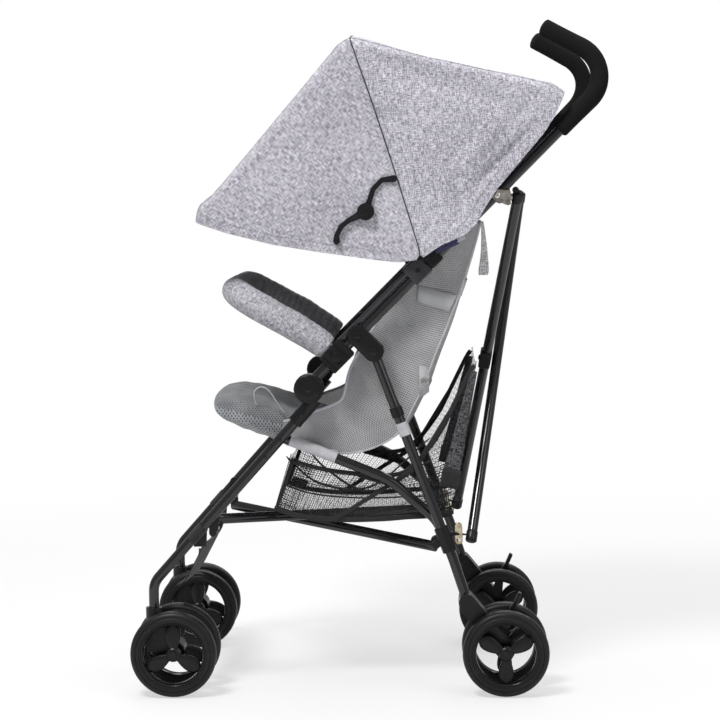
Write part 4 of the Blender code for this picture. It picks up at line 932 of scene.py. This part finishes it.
def dashes(name, path, out, long, gap, wide):
    """A row of stitches along a path: each a small raised bar of eight corners, its top towards out."""
    path = np.asarray(path, float)
    total = np.linalg.norm(np.diff(path, axis=0), axis=1).sum()
    count = max(2, int(total / (long + gap)))
    line = spaced(path, count * 2)
    a, b = line[0::2], line[1::2]
    middle, way = (a + b) / 2, unit(b - a)
    out = np.broadcast_to(np.array(out, float), middle.shape)
    aside = unit(np.cross(way, out))
    corners = []
    for lift, shrink in ((-wide * 0.4, 1.0), (wide * 0.45, 0.7)):
        for i, j in ((-1, -1), (1, -1), (1, 1), (-1, 1)):
            corners.append(middle + way * (i * long / 2 * shrink) + aside * (j * wide / 2 * shrink) + out * lift)
    box = np.array([[4, 5, 6, 7], [3, 2, 1, 0], [0, 1, 5, 4], [1, 2, 6, 5], [2, 3, 7, 6], [3, 0, 4, 7]])
    faces = (np.arange(count)[:, None, None] * 8 + box[None]).reshape(-1, 4).tolist()
    made = mesh_piece(name, np.stack(corners, 1), faces, None, THREAD)
    worked(made.data, face_out)
    return made


def piping(name, rib, material, radius, body, lift):
    """A thin round trim along one end of a hood's grid, lifted away from the canopy's middle."""
    rib = rib[np.concatenate([[True], np.linalg.norm(np.diff(rib, axis=0), axis=1) > 1e-5])]
    out = unit((rib - np.array([0.06, 0.0, 0.80])) * (0.25, 1, 1))
    on_canopy(pipe(name, spaced(rib + out * lift, 260), radius, material, 10, up=(0.3, 0.1, 0.2)), body)


piping("canopy_mid_piping", front_points[-1], PIPING, 0.0009, "left_frame", 0.0003)
piping("canopy_front_binding", front_points[0], HEATHER, 0.0014, "canopy_front_body", 0.0)
piping("canopy_rear_binding", rear_points[-1], HEATHER, 0.0014, "left_frame", 0.0)
for label, points, body, hem, inset in (
        ("front", front_points, "canopy_front_body", FRONT_HEM[1:], (0.002, 0.0125)),
        ("rear", rear_points, "left_frame", REAR_HEM[2:-1], (-0.012, 0.0085))):
    hem = np.array(hem) + inset
    for side, s in SIDES:
        wall = (points if s < 0 else points[:, ::-1])[:, :SIDE_ROWS + TURN_ROWS]
        welt = spaced(wall[:, -1] + np.array([0, s * 0.0004, 0.0006]), 120)
        on_canopy(pipe(f"canopy_{label}_{side}_welt", welt, 0.0009, HEATHER, 8, up=(0.1, 0.9, 0.2)), body)
        flat = wall.reshape(-1, 3)
        line = spaced(np.stack([hem[:, 0], np.zeros(len(hem)), hem[:, 1]], -1), 90)
        nearest = ((flat[None, :, [0, 2]] - line[:, None, [0, 2]]) ** 2).sum(-1).argmin(1)
        line[:, 1] = flat[nearest, 1] + s * 0.0003
        on_canopy(dashes(f"canopy_{label}_{side}_hem_stitch", line, (0, s, 0), 0.0036, 0.0012, 0.0011), body)
for side, s in SIDES:
    # the navy lining and the pale label tape that show below the rear panel's lower corner
    edge = np.array([(0.104, 0.6955), (0.114, 0.701), (0.124, 0.7050), (0.135, 0.7095), (0.139, 0.7115)])
    share = np.linspace(0, 1, 6)[None, :, None]
    flat = edge[:, None] * (1 - share) + (edge + np.array([0.004, -0.009]))[:, None] * share
    points = np.stack([flat[..., 0], np.full(flat.shape[:2], s * 0.1935) - s * 0.001 * share[..., 0], flat[..., 1]], -1)
    on_canopy(surface(side + "_lining_edge", points, LINING, 0.0008), "left_frame")
    tab = np.array([[(0.1385, 0.7120), (0.1400, 0.7040)], [(0.1450, 0.7150), (0.1465, 0.7065)],
                    [(0.1510, 0.7185), (0.1530, 0.7100)]])
    on_canopy(surface(side + "_care_tab", np.insert(tab, 1, s * 0.1930, axis=2), PALE, 0.0007), "left_frame")
for piece in (*CANOPY_TRIMS, front, rear):
    narrows(piece)
for piece, points in ((front, front_points), (rear, rear_points)):
    wide, area = 1.15, cut_area(points)


# ---------------------------------------------------------------- cloth pads
def puffed(made, voxel, pressure, cap):
    """Padding by simulation: the form is remeshed evenly, blown up a little with the cloth's own stiffness and no
    gravity, and no point may move further than cap."""
    picked(made)
    even = made.modifiers.new("even", "REMESH")
    even.mode, even.voxel_size, even.use_smooth_shade = "VOXEL", voxel, True
    bpy.ops.object.modifier_apply(modifier=even.name)
    before = read(made.data.vertices, "co")
    cloth = made.modifiers.new("cloth", "CLOTH")
    cloth.settings.use_pressure = True
    cloth.settings.uniform_pressure_force = pressure
    cloth.settings.effector_weights.gravity = 0
    cloth.settings.tension_stiffness = 20
    cloth.settings.compression_stiffness = 8
    cloth.settings.bending_stiffness = 0.4
    cloth.settings.quality = 5
    cloth.collision_settings.use_collision = False
    cloth.point_cache.frame_start, cloth.point_cache.frame_end = 1, 16
    for step in range(1, 17):
        scene.frame_set(step)
    evaluated = made.evaluated_get(bpy.context.evaluated_depsgraph_get())
    move = read(evaluated.data.vertices, "co") - before
    made.modifiers.remove(cloth)
    scene.frame_set(1)
    move *= np.minimum(1.0, cap / np.maximum(np.linalg.norm(move, axis=1)[:, None], 1e-9))
    made.data.vertices.foreach_set("co", (before + move).astype(np.float32).ravel())
    made.data.update()
    return made


def cloth_map(made):
    """Lays a cloth map in metres on a finished mesh: each face reads the two axes that it lies along best."""
    mesh = made.data
    corner = read(mesh.loops, "vertex_index", 1, np.int32)
    facing = (np.abs(read(mesh.polygons, "normal")) * (1.0, 1.1, 1.0)).argmax(1)
    facing = np.repeat(facing, read(mesh.polygons, "loop_total", 1, np.int32))
    across = np.array([[1, 2], [0, 2], [0, 1]])[facing]
    maps = np.take_along_axis(read(mesh.vertices, "co")[corner], across, 1)
    layer = mesh.uv_layers.get("cloth") or mesh.uv_layers.new(name="cloth")
    layer.data.foreach_set("uv", maps.astype(np.float32).ravel())


BUMPER_UP = (0.45, 0, 0.89)


def bumper_bar():
    """A padded U: a tube of cloth over foam, tapered where its arms enter the mounts, gathered on the inside."""
    count, long = 760, 0.76
    y = FRAME_Y - 0.008
    left = [(-0.0590, -y, 0.5408), (-0.0760, -y, 0.5520), (-0.0900, -y, 0.5615), (-0.1200, -y, 0.5800),
            (-0.1600, -y, 0.6020)]
    bend = rounded([left[-1], (-0.2080, -y + 0.004, 0.6290), (-0.2080, 0.0, 0.6290), (-0.2080, y - 0.004, 0.6290),
                    (left[-1][0], y, left[-1][2])], [0.055, 0.0, 0.055], 4)
    line = spaced(np.vstack([left[:-1], bend, [(x, -v, z) for x, v, z in left[-2::-1]]]), count)
    kernel = np.ones(9) / 9
    smooth = np.stack([np.convolve(np.pad(line[:, i], 4, "edge"), kernel, "valid") for i in range(3)], -1)
    run = np.linspace(0, 1, count)
    radius = np.interp(np.minimum(run, 1 - run) * long, [0, 0.004, 0.012, 0.05, 0.075],
                       [0.0150, 0.0185, 0.0205, 0.0214, 0.0220])
    phase = np.random.default_rng(5).uniform(0, 6.28, 4)

    def gathers(run, angle):
        inside = np.clip(np.cos(angle) + 0.25, 0, 1) ** 0.8
        pleat = np.sin(run * 520 + 1.7 * np.sin(run * 61 + phase[0]) + 0.6 * np.sin(angle * 3 + phase[1]))
        soft = 0.5 * np.sin(run * 73 + phase[2] + angle) + 0.5 * np.sin(run * 129 + phase[3] - 2 * angle)
        return -0.0019 * inside * (0.5 + 0.5 * pleat) + 0.0006 * soft
    return pipe("bumper_cover", smooth, radius, BUMPER, 60, up=BUMPER_UP, relief=gathers), smooth, radius


cover, cover_line, cover_radius = bumper_bar()
cover.data.materials.append(INNER)
# the faces that look into the U take the darker inner cloth
middles = read(cover.data.polygons, "center")
away = np.abs(middles[:, None, :2] - cover_line[None, ::8, :2]).sum(-1)
core = cover_line[::8][away.argmin(1)]
inwards = np.stack([np.clip(-0.150 - core[:, 0], 0, 1) * 9, -core[:, 1]], -1)
inwards /= np.linalg.norm(inwards, axis=1)[:, None] + 1e-9
lean = ((middles[:, :2] - core[:, :2]) * inwards).sum(1)
cover.data.polygons.foreach_set("material_index", (lean > 0.0035).astype(np.int32))
stands(cover, "bumper_bar", "left_frame")
under = cover_line - frames(cover_line, BUMPER_UP)[2] * cover_radius[:, None]
seam = goes(pipe("bumper_seam", under, 0.0010, BUMPER, 8, up=BUMPER_UP), "left_frame")
for piece in (cover, seam):
    narrows(piece)


def seat_pad():
    """The seat: a padded sling. Its section runs over the front roll; towards each side it pulls in by
    1 - 0.05 |t|^5 along x and 1 - 0.34 t^4 along z, and its middle sags by 7 mm."""
    outline = [(-0.243, 0.446), (-0.240, 0.434), (-0.230, 0.425), (-0.205, 0.4135), (-0.165, 0.4010),
               (-0.124, 0.3890), (-0.080, 0.3800), (-0.035, 0.3840), (-0.020, 0.3930), (-0.024, 0.4030),
               (-0.060, 0.4150), (-0.110, 0.4360), (-0.150, 0.4520), (-0.184, 0.4620), (-0.214, 0.4660),
               (-0.233, 0.4630), (-0.241, 0.4560), (-0.243, 0.446)]
    ring = spline(outline, 121)[:-1]
    centre = np.stack([np.interp(ring[:, 0], [-0.245, -0.19, -0.12, -0.018], middle)
                       for middle in ([-0.205, -0.19, -0.12, -0.03], [0.444, 0.437, 0.413, 0.395])], -1)
    share = np.linspace(-1, 1, 61)
    pull = np.stack([1 - 0.05 * np.abs(share) ** 5, 1 - 0.34 * np.abs(share) ** 4], -1)
    pull[[0, -1]] = (0.90, 0.52)
    flat = centre[None] + (ring - centre)[None] * pull[:, None]
    flat[..., 0] -= 0.011 * np.clip((-0.16 - flat[..., 0]) / 0.08, 0, 1) * (1 - share[:, None] ** 2)
    flat[..., 1] += 0.0012 * np.sin(ring[None, :, 0] * 260) * (1 - share[:, None] ** 4)
    upper = np.clip((ring[:, 0] + 0.21) / 0.05, 0, 1)[None] * (1 - share[:, None] ** 2)
    y = np.broadcast_to(share[:, None] * (SOFT - 0.0060), flat.shape[:2]).copy()
    y[[1, -2]] = y[[0, -1]] * 0.992
    points = np.stack([flat[..., 0], y, flat[..., 1] - 0.007 * upper], -1)
    made = mesh_piece("seat_pad", points, quads(61, 120, True), None, SEAT_TOP)
    worked(made.data, fill_ends, face_out)
    return made


pad = puffed(seat_pad(), 0.004, 1.6, 0.004)
soften = pad.modifiers.new("smooth", "SUBSURF")
soften.levels = soften.render_levels = 1
cloth_map(pad)
# the nose and the underside take the coarser mesh
pad.data.materials.append(SEAT_SIDE)
middles = read(pad.data.polygons, "center")
nose = middles[:, 2] < 0.449 - 0.28 * np.clip(middles[:, 0] + 0.243, 0, 1)
pad.data.polygons.foreach_set("material_index", nose.astype(np.int32))
stands(pad, "seat_base", "left_frame")
side_run = [(-0.030, 0.3980), (-0.060, 0.4050), (-0.120, 0.4220), (-0.170, 0.4330), (-0.215, 0.4420), (-0.236, 0.4480)]
side_run = spline([at(p, -(SOFT - 0.0068)) for p in side_run], 60)
front_run = [(-0.2400, -0.132, 0.4500), (-0.2425, -0.112, 0.4505), (-0.2432, 0.0, 0.4510), (-0.2425, 0.112, 0.4505),
             (-0.2400, 0.132, 0.4500)]
round_seat = spaced(np.vstack([side_run, front_run, side_run[::-1] * np.array([1, -1, 1])]), 240)
pad_piping = goes(pipe("seat_piping", round_seat, 0.0016, THREAD, 10, up=(0.1, 0.2, 0.95)), "left_frame")
for piece in (pad, pad_piping):
    narrows(piece)

# ---------------------------------------------------------------- backrest and side panels
ROWS = 90  # points along the back's side lines
BOW, DIP = 0.011, 0.004  # how far the back bows to the rear, and its middle hangs below its sides
REAR_LINE = [(-0.1300, 0.3880), (-0.1081, 0.3825), (-0.0767, 0.3765), (-0.0420, 0.3735), (-0.0137, 0.3760),
             (0.0099, 0.3830), (0.0368, 0.3973), (0.0558, 0.4193), (0.0716, 0.4492), (0.0875, 0.4806),
             (0.1050, 0.5276), (0.1288, 0.5855), (0.1477, 0.6369), (0.1682, 0.6991), (0.1770, 0.7330)]
EDGE_LINE = [(-0.1340, 0.4240), (-0.1077, 0.4300), (-0.0837, 0.4400), (-0.0560, 0.4500), (-0.0410, 0.4600),
             (-0.0348, 0.4813), (-0.0251, 0.5127), (0.0067, 0.5675), (0.0430, 0.6240), (0.0794, 0.6760),
             (0.1200, 0.7120), (0.1660, 0.7400)]
rear_curve, edge_curve = spline(REAR_LINE, ROWS), spline(EDGE_LINE, ROWS)
down = np.linspace(0, 1, ROWS)
width = np.linspace(-1, 1, 49)  # across the back, from its left side to its right side
sling = 1 - width ** 2
bowed = np.sin(np.linspace(0.1, 1, ROWS) * np.pi)


def fabric(name, points, material, flat, held, rests, thick=0.0009):
    area = cut_area(points)
    facts = {"flat": (flat[0], max(flat[1], area / flat[0] * 1.02)), "held": held, "rests_on": rests, "area": area}
    return surface(name, points, material, thick), facts


grid = np.stack([rear_curve[:, None, 0] + BOW * sling[None] * bowed[:, None],
                 np.broadcast_to(width * (SOFT - 0.001), (ROWS, 49)),
                 rear_curve[:, None, 1] - DIP * sling[None] * np.ones((ROWS, 1))], -1)
grid[..., 0] += 0.0010 * np.sin(width * 11)[None] * np.sin(down * 12)[:, None]
back, back_facts = fabric("backrest_sheet", grid, BACKING, (0.29, 0.56), "stretched",
                          ["left_pusher_tube", "right_pusher_tube"])
stands(back, "backrest", "left_frame")
BACK, PANELS = [back], []


def on_back(made):
    BACK.append(goes(made, "left_frame"))
    return made


for side, s in SIDES:
    share = np.linspace(0, 1, 40)
    flare = np.clip((down - 0.60) / 0.35, 0, 1) ** 1.5 * 0.0165
    flat = edge_curve[:, None] * (1 - share[None, :, None]) + rear_curve[:, None] * share[None, :, None]
    billow = 0.0022 * np.sin(share * np.pi)[None] * np.sin(down * 3 * np.pi)[:, None]
    y = SOFT - 0.0006 + flare[:, None] * (1 - share[None]) ** 1.5 - np.abs(billow)
    points = np.stack([flat[..., 0], s * y, flat[..., 1]], -1)
    panel, facts = fabric(side + "_side_panel", points, SHEER, (0.16, 0.56), "stretched",
                          [side + "_pusher_tube", back.name])
    PANELS.append((goes(panel, "left_frame"), facts))
    on_back(pipe(side + "_panel_binding", spaced(points[:, 0], 120), 0.0022, LILAC, 10, flat=0.5))
    on_back(pipe(side + "_rear_hem", spaced(points[:, -1], 120), 0.0016, PALE, 10, flat=0.6))
    # the pale hem where the seat's side meets the seat tube, and its stitches
    line = spline([(-0.1300, 0.3925), (-0.1050, 0.3860), (-0.0767, 0.3800), (-0.0485, 0.3750)], 40)
    x, z = line[:, None, 0], line[:, None, 1]
    ripple = 0.0006 * np.sin(np.linspace(0, 22, 40))[:, None]
    band = np.stack([np.broadcast_to(x, (40, 5)), np.full((40, 5), s * (SOFT + 0.0002)),
                     z + np.linspace(-0.5, 0.5, 5)[None] * 0.0055 + ripple], -1)
    on_back(surface(side + "_seat_hem_band", band, LILAC, 0.0011))
    line = np.stack([line[:, 0], np.full(40, s * (SOFT + 0.0010)), line[:, 1] - 0.0012], -1)
    on_back(dashes(side + "_seat_hem_stitch", line, (0, s, 0), 0.0030, 0.0014, 0.0006))
    # the mesh band that crosses the side panel below its top
    share = np.linspace(0, 1, 14)
    band = np.stack([np.stack([0.078 * (1 - share) + 0.1395 * share, np.full(14, s * (SOFT + 0.0014 + lift)),
                               (0.637 - lower) * (1 - share) + (0.621 - lower) * share], -1)
                     for lower, lift in ((0.0, 0.0), (0.013, 0.0010), (0.026, 0.0))])
    band[..., 0] -= np.array([0, 0.006, 0.012])[:, None] * share[None]
    on_back(surface(side + "_side_band", band, BAND, 0.0008))
    # shoulder loop that ties the panel's top to the handle bar
    loop_line = spline([(0.163, s * 0.1625, 0.7370), (0.1650, s * 0.1670, 0.7400), (0.1600, s * 0.1755, 0.7480),
                        (0.1560, s * 0.1840, 0.7330)], 24)
    on_back(ribbon(side + "_shoulder_loop", loop_line, 0.013, PALE, 0.0010, up=(0.7, 0, 0.7)))
share = np.linspace(-1, 1, 30)
top_hem = np.stack([np.array([0.1765, 0.1777, 0.1777, 0.1765])[:, None] * np.ones(30),
                    np.broadcast_to(np.linspace(-SOFT, SOFT, 30) * 0.985, (4, 30)),
                    np.array([0.738, 0.734, 0.722, 0.716])[:, None] - DIP * (1 - share ** 2)[None]], -1)
top_hem[..., 0] += 0.0035 * (1 - share ** 2)[None] - np.array([0, 0, 0.0035, 0.006])[:, None]
on_back(surface("backrest_top_hem", top_hem, LILAC, 0.0012))
for label, z, wide in (("upper", 0.632, 0.026), ("lower", 0.470, 0.020)):
    rows = np.array([z + wide / 2, z, z - wide / 2])
    straight = rear_curve[34:]  # above the seat, where height picks out one point of the line
    x = np.interp(rows, straight[:, 1], straight[:, 0])
    bow = BOW * sling * np.sin(np.interp(z, straight[:, 1], np.linspace(0.1, 1, ROWS)[34:]) * np.pi)
    band = np.stack([x[:, None] + bow[None] + 0.0018, np.broadcast_to(width * (SOFT - 0.0008), (3, 49)),
                     rows[:, None] - DIP * sling[None]], -1)
    on_back(surface(f"backrest_{label}_band", band, PALE, 0.0012))
# grommet tab at the back's side edge
tab = np.array([[(0.0800, 0.511), (0.0800, 0.461)], [(0.0880, 0.510), (0.0880, 0.464)],
                [(0.0955, 0.505), (0.0955, 0.470)]])
on_back(surface("side_tab", np.insert(tab, 1, -(SOFT - 0.0002), axis=2), PALE, 0.0014))
ring = [(0.0032, -0.0010), (0.0036, -0.0018), (0.0058, -0.0018), (0.0064, -0.0010), (0.0058, -0.0002),
        (0.0036, -0.0002)]
on_back(turned("tab_eyelet", ring, (0.0885, -(SOFT + 0.0014), 0.4870), (0, 1, 0), STEEL, 40))
# a closing tie that hangs from the back's top hem
down, over = np.linspace(0, 1, 40)[:, None], np.linspace(-1, 1, 7)[None]
wide = np.interp(down, [0, 0.1, 0.6, 0.9, 1.0], [0.0020, 0.0028, 0.0062, 0.0094, 0.0084])
tie = np.stack([0.1835 + 0.0030 * np.sin(down * 2.6) + over * wide * 0.9,
                over * wide * 0.35 + 0.0015 * np.sin(down * 5), 0.7335 - 0.0875 * down + 0 * over], -1)
tie_piece, tie_facts = fabric("closing_tie", tie, FLECKED, (0.016, 0.088), "hung", ["backrest_top_hem"], 0.0010)
on_back(tie_piece)
for piece in (*BACK, *[panel for panel, _ in PANELS]):
    narrows(piece)

# a thin elastic loop on the seat's front edge
loop = spline([(-0.176, -0.1455, 0.4500), (-0.179, -0.1490, 0.4620), (-0.1785, -0.1515, 0.4730),
               (-0.1700, -0.1530, 0.4795), (-0.1590, -0.1535, 0.4770), (-0.1500, -0.1525, 0.4660),
               (-0.1430, -0.1500, 0.4540), (-0.1320, -0.1455, 0.4380)], 40)
loop_cord = goes(pipe("seat_loop", loop, 0.0009, PALE, 10), "left_frame")
narrows(loop_cord)

# ---------------------------------------------------------------- basket
TOP_RIM = [(-0.1230, 0.3720), (-0.1050, 0.3600), (-0.0455, 0.3470), (0.0400, 0.3420), (0.0780, 0.3650),
           (0.1122, 0.4095), (0.1359, 0.4567), (0.1596, 0.5038), (0.1700, 0.5180)]
FLOOR_LINE = [(-0.1500, 0.2830), (-0.1095, 0.2700), (-0.0463, 0.2640), (0.0200, 0.2650), (0.0600, 0.2680),
              (0.1000, 0.2700), (0.1320, 0.2760)]
rim, low = spline(TOP_RIM, 80), spline(FLOOR_LINE, 80)
half = SOFT - 0.0005  # half the basket's width
CORNER = 0.018  # how far its lower edges are rounded


def basket_points():
    """The net as one cloth: down a side wall, round the lower edge, over the floor and up again. A point lies between
    the rim's and the floor's lines by its share of the way down; the floor sags and the walls belly a little."""
    arc = np.linspace(0, np.pi / 2, 8)[1:]
    share = np.concatenate([np.linspace(0, 0.90, 22), 0.90 + 0.10 * np.sin(arc)])
    y = np.concatenate([np.full(22, -half), -half + CORNER * (1 - np.cos(arc))])
    share = np.concatenate([share, np.ones(32), share[::-1]])
    y = np.concatenate([y, np.linspace(-half + CORNER, half - CORNER, 34)[1:-1], -y[::-1]])
    bag = rim[:, None] * (1 - share[None, :, None]) + low[:, None] * share[None, :, None]
    middle = np.sin(np.linspace(0, np.pi, 80))[:, None]
    sag = (share > 0.999)[None] * (1 - (y / half)[None] ** 2) * middle * 0.0035
    belly = np.sin(np.pi * np.clip(share, 0, 1))[None] * middle * 0.004
    return np.stack([bag[..., 0], y[None] - np.sign(y)[None] * belly * (np.abs(y)[None] > half - 0.001),
                     bag[..., 1] - sag], -1)


net, net_facts = fabric("basket_bag", basket_points(), NET, (0.52, 0.45), "hung", ["left_seat_tube", "right_seat_tube"],
                        0.0006)
stands(net, "basket", "basket_body")
BASKET = [net]


def on_basket(made):
    BASKET.append(goes(made, "basket_body"))


def cross_wall(name, top, bottom):
    """A wall from side to side between two points of the side view, bowed outwards a little."""
    share = np.linspace(0, 1, 24)[:, None]
    y = np.linspace(-1, 1, 36)[None]
    lean = 0.004 * np.sin(np.pi * share) * (1 - y ** 2) * (1 if top[0] > 0 else -1)
    points = np.stack([top[0] * (1 - share) + bottom[0] * share + lean, (half - 0.0008) * y + 0 * share,
                       top[1] * (1 - share) + bottom[1] * share - 0.010 * (1 - y ** 2) * (1 - share)], -1)
    on_basket(surface(name, points, NET, 0.0006))


def wall_tape(name, line, wide, s, out=0.0004, material=TAPE):
    """A tape that lies flat on a side wall: its width is square to the line, in the wall's plane."""
    line = np.asarray(line, float)
    way = unit(np.gradient(line, axis=0))
    normal = np.stack([-way[:, 1], way[:, 0]], -1)
    share = np.linspace(-0.5, 0.5, 4)
    flat = line[:, None] + normal[:, None] * share[None, :, None] * np.reshape(wide, (-1, 1, 1))
    points = np.stack([flat[..., 0], np.full(flat.shape[:2], s * (half + out)), flat[..., 1]], -1)
    on_basket(surface(name, points, material, 0.0012))


def wall_at(share_along, share_down):
    i = int(share_along * 79)
    return rim[i] * (1 - share_down) + low[i] * share_down


def inner_fold(name, part, shares, y):
    """A second layer of net inside a side wall, over a part of its length and of its depth."""
    fold = np.stack([rim[part] * (1 - k) + low[part] * k for k in shares])
    on_basket(surface(name, np.insert(fold, 1, y, axis=2), NET, 0.0005))


cross_wall("basket_front_wall", rim[0], low[0])
cross_wall("basket_rear_wall", rim[-1], low[-1])
for side, s in SIDES:
    wall_tape(side + "_basket_rim", rim[2:-1] + np.array([0, -0.003]), 0.007, s)
    wall_tape(side + "_basket_foot", low + np.array([0, 0.004]), 0.008, s)
    front_edge = spaced([rim[0] + (0.004, -0.006), low[0] + (0.004, 0.004)], 10)
    wall_tape(side + "_basket_corner", front_edge, 0.006, s, 0.0008)
    front_fold = np.stack([(rim[:9] * (1 - k) + low[:9] * k) + (0.004, 0) for k in np.linspace(0.02, 0.98, 12)])
    on_basket(surface(side + "_basket_front_fold", np.insert(front_fold, 1, s * (half - 0.0030), axis=2), NET, 0.0005))
    inner_fold(side + "_basket_low_fold", slice(2, 76), np.linspace(0.80, 0.985, 6), s * (half - 0.0045))
    rear_edge = spaced([(0.1660, 0.5020), (0.1545, 0.4530), (0.1375, 0.3740), (0.1300, 0.3450)], 24)
    wall_tape(side + "_basket_rear_tape", rear_edge, np.linspace(0.010, 0.026, 24), s, 0.0009, SPECKLED)
    wall_tape(side + "_basket_rear_patch", spaced([(0.1310, 0.3470), (0.1250, 0.3180)], 6), 0.030, s, 0.0018)
    wall_tape(side + "_basket_slant_a", spaced([wall_at(0.30, 0.05), wall_at(0.62, 0.55), wall_at(0.86, 0.96)], 30),
              0.008, s, 0.0012)
    wall_tape(side + "_basket_slant_b", spaced([wall_at(0.34, 0.96), wall_at(0.62, 0.30), wall_at(0.80, 0.04)], 30),
              0.007, s, 0.0016)
    inner = s * (half - 0.020)
    strap = [(x, inner - s * 0.05 * i / 19, z + 0.0012) for i, (x, z) in enumerate(spaced(low, 20))]
    on_basket(ribbon(side + "_basket_floor_strap", strap, 0.010, TAPE, 0.0014))
    bridge = spline([(-0.128, s * half, 0.3660), (-0.080, s * 0.09, 0.3180), (0.000, -s * 0.03, 0.2960),
                     (0.095, -s * half, 0.3600)], 40)
    on_basket(ribbon(side + "_basket_cross_strap", bridge, 0.011, TAPE, 0.0014))
for piece in BASKET:
    narrows(piece)


# ---------------------------------------------------------------- calf strap and leg bands
def on_rear_leg(share, y):
    """A point of the rear leg's straight part."""
    return at([a + (b - a) * share for a, b in zip(REAR_KNEE, REAR_SHIN)], y)


profile = spline([(-0.262, 0.2320), (-0.2680, 0.2180), (-0.2800, 0.1950), (-0.2920, 0.1740), (-0.3040, 0.1670)], 30)
over = np.linspace(-1, 1, 60)[None]
strap = np.stack([profile[:, None, 0] + 0.010 * (1 - over ** 2), np.broadcast_to(over * 0.1660, (30, 60)),
                  profile[:, None, 1] - 0.004 * (1 - over ** 2)], -1)
calf, calf_facts = fabric("calf_strap", strap, CALF, (0.34, 0.085), "stretched", ["left_front_leg", "right_front_leg"],
                          0.0010)
stands(calf, "calf_support", "left_frame")
CALF_PARTS = [calf]
for label, row in (("top", 0), ("foot", -1)):
    binding = pipe(f"calf_{label}_binding", spaced(strap[row], 80), 0.0022, TAPE, 10, up=(0.5, 0, 0.8), flat=0.5)
    CALF_PARTS.append(goes(binding, "left_frame"))
for side, s in SIDES:
    y = s * FRAME_Y
    wrap = pipe(side + "_calf_wrap", spaced([at(on_leg(0.268), y), at(on_leg(0.298), y)], 8), 0.0093, TAPE, 32)
    goes(wrap, side + "_frame")
    x, z = on_leg(0.282)
    tongue = spline([(-0.266, s * 0.1655, 0.2290), (x + 0.004, s * 0.1700, z + 0.006), (x, s * 0.1755, z + 0.0085)], 16)
    tongue = ribbon(side + "_calf_tongue", tongue, 0.020, TAPE, 0.0012, up=(0.66, 0, 0.75))
    CALF_PARTS.append(goes(tongue, "left_frame"))
    band = pipe(side + "_leg_band", spaced([on_rear_leg(0.235, y), on_rear_leg(0.305, y)], 8), 0.0094, PALE, 32)
    goes(band, side + "_rear_leg_body")
    collar = pipe(side + "_leg_collar", spaced([on_rear_leg(0.15, y), on_rear_leg(0.20, y)], 6), 0.0100, PLASTIC, 32,
                  dome=0.001)
    goes(collar, side + "_rear_leg_body")
for piece in CALF_PARTS:
    narrows(piece)


# ---------------------------------------------------------------- floor, lamps, world
def floor():
    """The floor keeps its shadow near the stroller; to the camera it fades towards white from 0.7 m to 2.2 m."""
    made = bpy.data.materials.new("studio_floor")
    made.use_nodes = True
    tree = made.node_tree
    matt = tree.nodes["Principled BSDF"]
    fill_inputs(matt, {"Base_Color": (0.86, 0.86, 0.865, 1), "Roughness": 0.9, "Specular_IOR_Level": 0.1})
    far = node(tree, "VectorMath", {"operation": "LENGTH"}, "Value", [node(tree, "TexCoord", output="Object")])
    seen = node(tree, "LightPath", output="Is Camera Ray") * (far.step(0.7, 2.2) * 0.42 + 0.58)
    mix = node(tree, "MixShader", inputs=(seen, Value(tree, matt.outputs[0]), node(tree, "Emission")))
    fill_inputs(tree.nodes["Material Output"], {0: mix})
    bpy.ops.mesh.primitive_plane_add(size=30, location=(0, 0, -0.0006))
    plane = bpy.context.object
    plane.name = "studio_floor"
    plane.data.materials.append(made)


def lamp(name, place, target, size, power):
    data = bpy.data.lights.new(name, "AREA")
    data.shape = "RECTANGLE"
    data.size, data.size_y = size
    data.energy = power
    made = bpy.data.objects.new(name, data)
    made.location = place
    made.rotation_euler = (Vector(target) - Vector(place)).to_track_quat("-Z", "Y").to_euler()
    scene.collection.objects.link(made)


def world():
    """White to the camera and through open mesh, a soft grey light for all else, and in between in reflections."""
    scene.world = bpy.data.worlds.new("studio")
    scene.world.use_nodes = True
    tree = scene.world.node_tree
    soft = tree.nodes["Background"]
    fill_inputs(soft, {0: (0.96, 0.97, 1.0, 1), 1: 0.24})
    white = node(tree, "Background", inputs=((1, 1, 1, 1), 1.0))
    camera_ray, through, glossy = (node(tree, "LightPath", output=f"Is {kind} Ray")
                                   for kind in ("Camera", "Transmission", "Glossy"))
    seen = (camera_ray + through + glossy * 0.28).math("MINIMUM", 1.0)
    mix = node(tree, "MixShader", inputs=(seen, Value(tree, soft.outputs[0]), white))
    fill_inputs(tree.nodes["World Output"], {0: mix})


floor()
lamp("key_softbox", (-1.0, -1.7, 3.1), (0, 0, 0.5), (0.9, 0.7), 84)
lamp("fill_softbox", (1.9, -1.6, 1.6), (0, 0, 0.5), (1.0, 1.6), 12)
lamp("top_softbox", (0.1, 0.4, 3.0), (0, 0, 0.4), (2.6, 2.0), 44)
lamp("back_strip", (0.3, 2.4, 1.7), (0, 0, 0.5), (2.4, 0.5), 14)
world()
bpy.context.view_layer.update()
